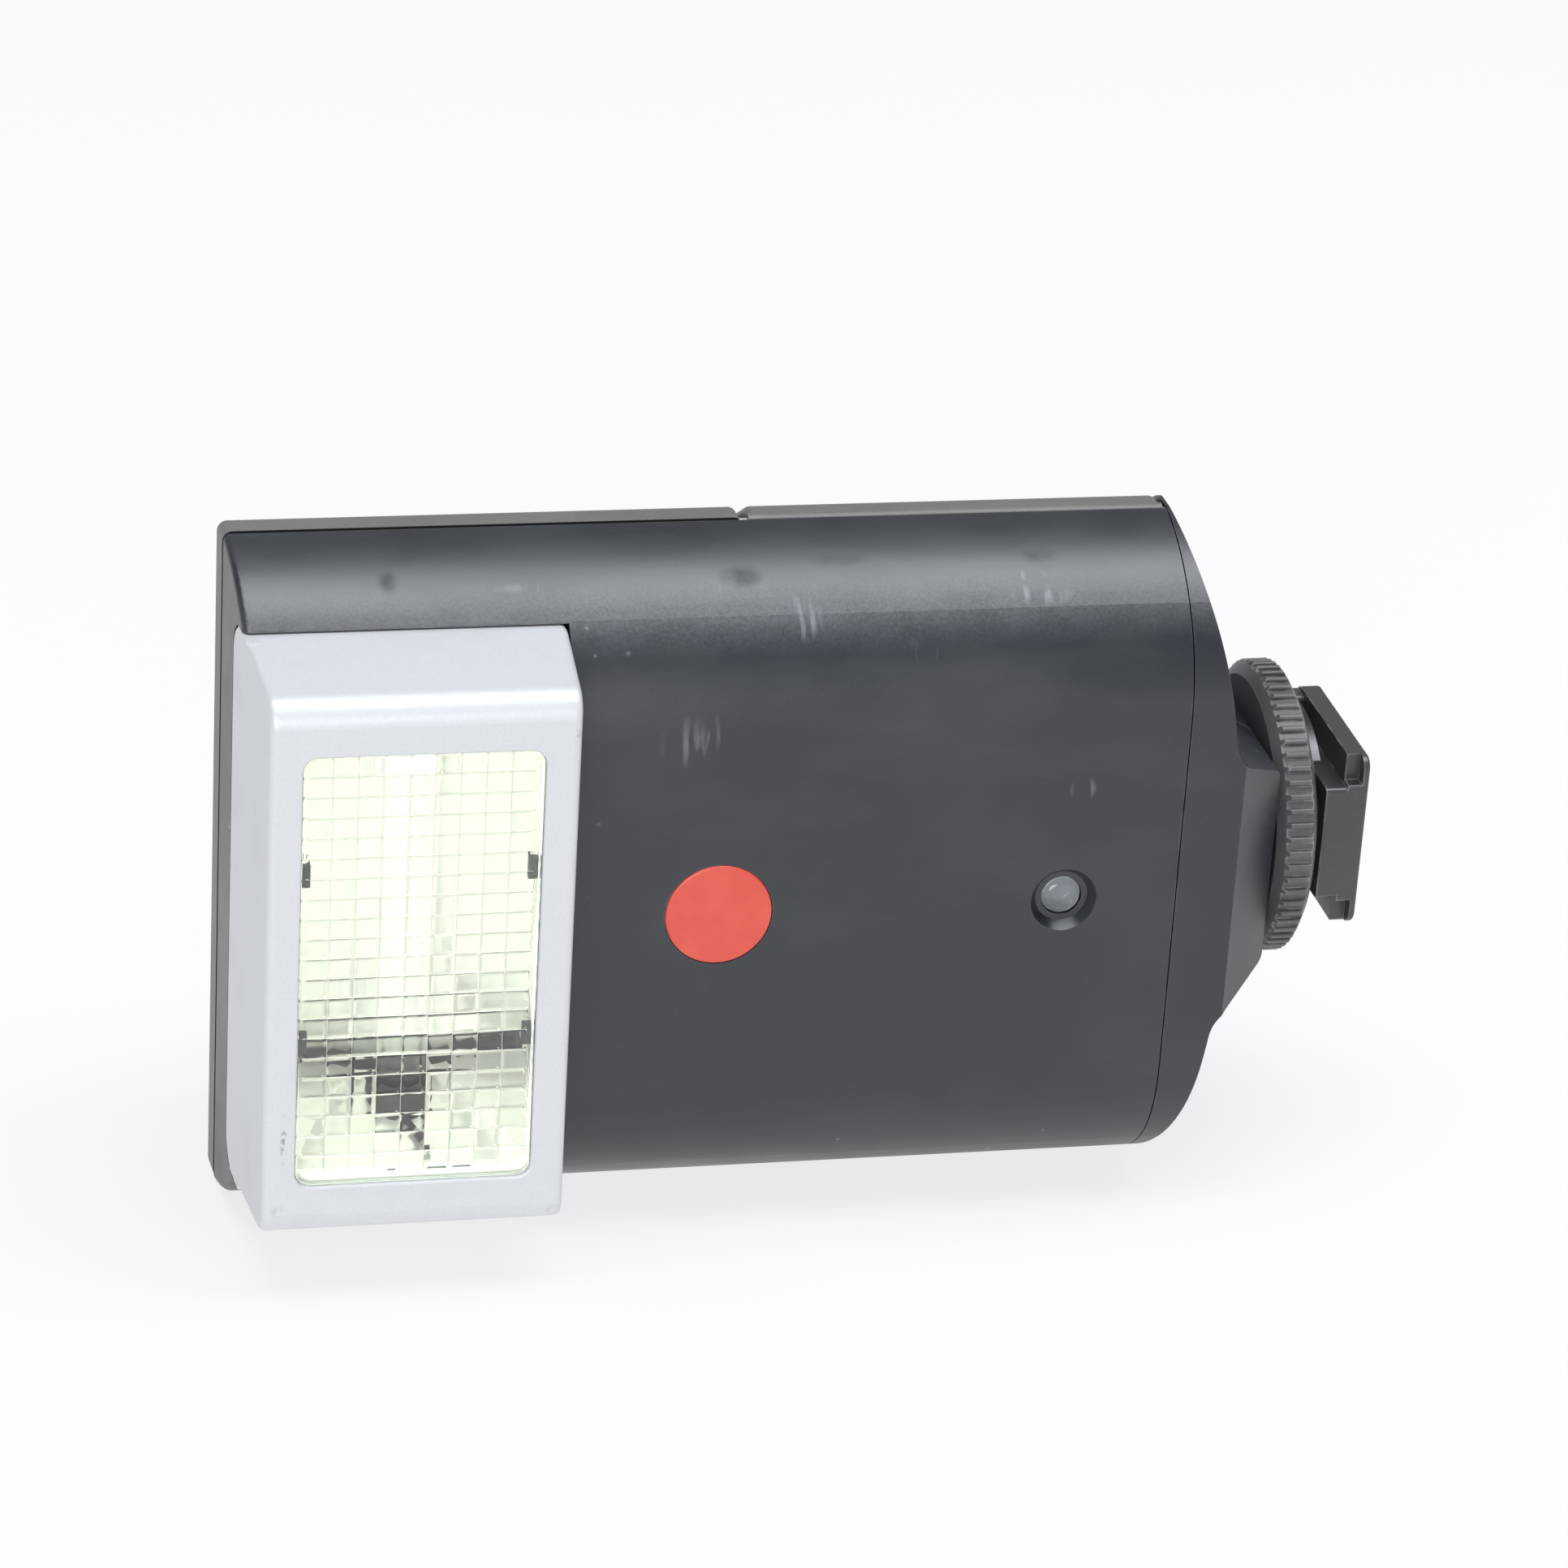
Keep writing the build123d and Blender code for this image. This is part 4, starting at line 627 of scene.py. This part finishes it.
def build_window():
    """Clear window with the CAD panel's outline and step, and lenses on its inner face."""
    low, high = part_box("window_panel")
    middle = ((low.x + high.x) / 2 - head_x) / MM
    flange_x = (high.x - low.x) / 2 / MM
    flange_z = (high.z - low.z) / 2 / MM
    pane_x = flange_x - FLANGE_LIP
    pane_z = flange_z - FLANGE_LIP
    mesh = bmesh.new()
    loops = []
    for step in range(EDGE_STEPS + 1):
        angle = math.pi / 2 * step / EDGE_STEPS
        inset = WINDOW_EDGE * (1 - math.sin(angle))
        depth = WINDOW_FRONT + WINDOW_EDGE * (1 - math.cos(angle))
        corner = WINDOW_CORNER - inset
        loops.append(rounded_loop(mesh, middle, pane_x - inset, pane_z - inset, corner, depth))
    loops.append(rounded_loop(mesh, middle, pane_x, pane_z, WINDOW_CORNER, WINDOW_STEP))
    loops.append(rounded_loop(mesh, middle, flange_x, flange_z, WINDOW_CORNER, WINDOW_STEP))
    loops.append(rounded_loop(mesh, middle, flange_x, flange_z, WINDOW_CORNER, WINDOW_BACK))
    mesh.faces.new(loops[0])
    for number, (first, second) in enumerate(zip(loops, loops[1:])):
        join_loops(mesh, first, second, EDGE if number >= EDGE_STEPS else CLEAR)
    across = lens_samples(middle - LENS_COLUMNS * LENS_PITCH_X / 2, LENS_PITCH_X, LENS_COLUMNS)
    up = lens_samples(-LENS_ROWS * LENS_PITCH_Z / 2, LENS_PITCH_Z, LENS_ROWS)
    grid = []
    for x, bulge_x, groove_x in across:
        column = []
        for z, bulge_z, groove_z in up:
            inward = GROOVE_DEPTH if groove_x or groove_z else LENS_BULGE * (1 - bulge_x * bulge_z)
            column.append(mesh.verts.new(place(x, WINDOW_BACK - inward, z)))
        grid.append(column)
    for i in range(len(across) - 1):
        for j in range(len(up) - 1):
            face = mesh.faces.new((grid[i][j], grid[i + 1][j], grid[i + 1][j + 1], grid[i][j + 1]))
            in_groove = across[i][2] or across[i + 1][2] or up[j][2] or up[j + 1][2]
            face.material_index = LINE if in_groove else CLEAR
            face.smooth = not in_groove
    rim = [e for e in mesh.edges if e.is_boundary]
    bmesh.ops.triangle_fill(mesh, edges=rim, use_beauty=True, use_dissolve=False)
    bmesh.ops.recalc_face_normals(mesh, faces=mesh.faces)
    data = bpy.data.meshes.new("window_lenses")
    mesh.to_mesh(data)
    mesh.free()
    window = bpy.data.objects.new("window_lenses", data)
    bpy.context.scene.collection.objects.link(window)
    data.materials.append(MATERIALS["window_clear"])
    data.materials.append(MATERIALS["lens_line"])
    data.materials.append(MATERIALS["window_edge"])
    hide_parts("window_panel")
    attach(window, "case")


build_window()


# --- tube holder ------------------------------------------------------------------------------
# The upper boot is cream, because no dark boot shows at the top; the lower one is black rubber.
boots = nodes["tube_boots"]
boots.data.materials.append(MATERIALS["frame_white"])
for polygon in boots.data.polygons:
    polygon.material_index = 1 if polygon.center.z > mid_z else 0

BAND_POINTS = (             # distance along the length, depth and offset from the middle, mm
    (5.9, 4.4, -10.2),
    (9.5, 9.6, -13.2),
    (13.2, 13.1, -16.0),
    (16.4, 14.1, -16.2),
    (19.6, 13.1, -15.8),
    (23.3, 9.6, -12.8),
    (27.0, 4.4, -9.6),
)
BAND_HALF_HEIGHT = 0.75
BAND_HALF_THICKNESS = 0.3
BAND_STEPS = 10
BAND_SIDES = 12


def smooth_path(points, steps):
    """Points of a smooth curve through the given ones."""
    padded = [2 * points[0] - points[1], *points, 2 * points[-1] - points[-2]]
    path = []
    for index in range(1, len(padded) - 2):
        before, start, end, after = padded[index - 1:index + 3]
        for step in range(steps):
            t = step / steps
            path.append(0.5 * (
                2 * start + (end - before) * t + (2 * before - 5 * start + 4 * end - after) * t ** 2
                + (3 * start - before - 3 * end + after) * t ** 3
            ))
    path.append(points[-1])
    return path


def build_tube_band():
    """Dark band that runs from one lower clip, round behind the tube, to the other."""
    path = smooth_path([place(*point) for point in BAND_POINTS], BAND_STEPS)
    mesh = bmesh.new()
    rings = []
    for index, point in enumerate(path):
        along = (path[min(index + 1, len(path) - 1)] - path[max(index - 1, 0)]).normalized()
        across = along.cross(Vector((0, 0, 1))).normalized()
        up = across.cross(along)
        ring = []
        for side in range(BAND_SIDES):
            angle = 2 * math.pi * side / BAND_SIDES
            thick = across * math.cos(angle) * BAND_HALF_THICKNESS
            tall = up * math.sin(angle) * BAND_HALF_HEIGHT
            ring.append(mesh.verts.new(point + (thick + tall) * MM))
        rings.append(ring)
    for first, second in zip(rings, rings[1:]):
        join_loops(mesh, first, second)
    mesh.faces.new(rings[0])
    mesh.faces.new(rings[-1])
    bmesh.ops.recalc_face_normals(mesh, faces=mesh.faces)
    for face in mesh.faces:
        face.smooth = len(face.verts) == 4
    data = bpy.data.meshes.new("tube_band")
    mesh.to_mesh(data)
    mesh.free()
    band = bpy.data.objects.new("tube_band", data)
    bpy.context.scene.collection.objects.link(band)
    data.materials.append(MATERIALS["boot_rubber"])
    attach(band, "case")


build_tube_band()
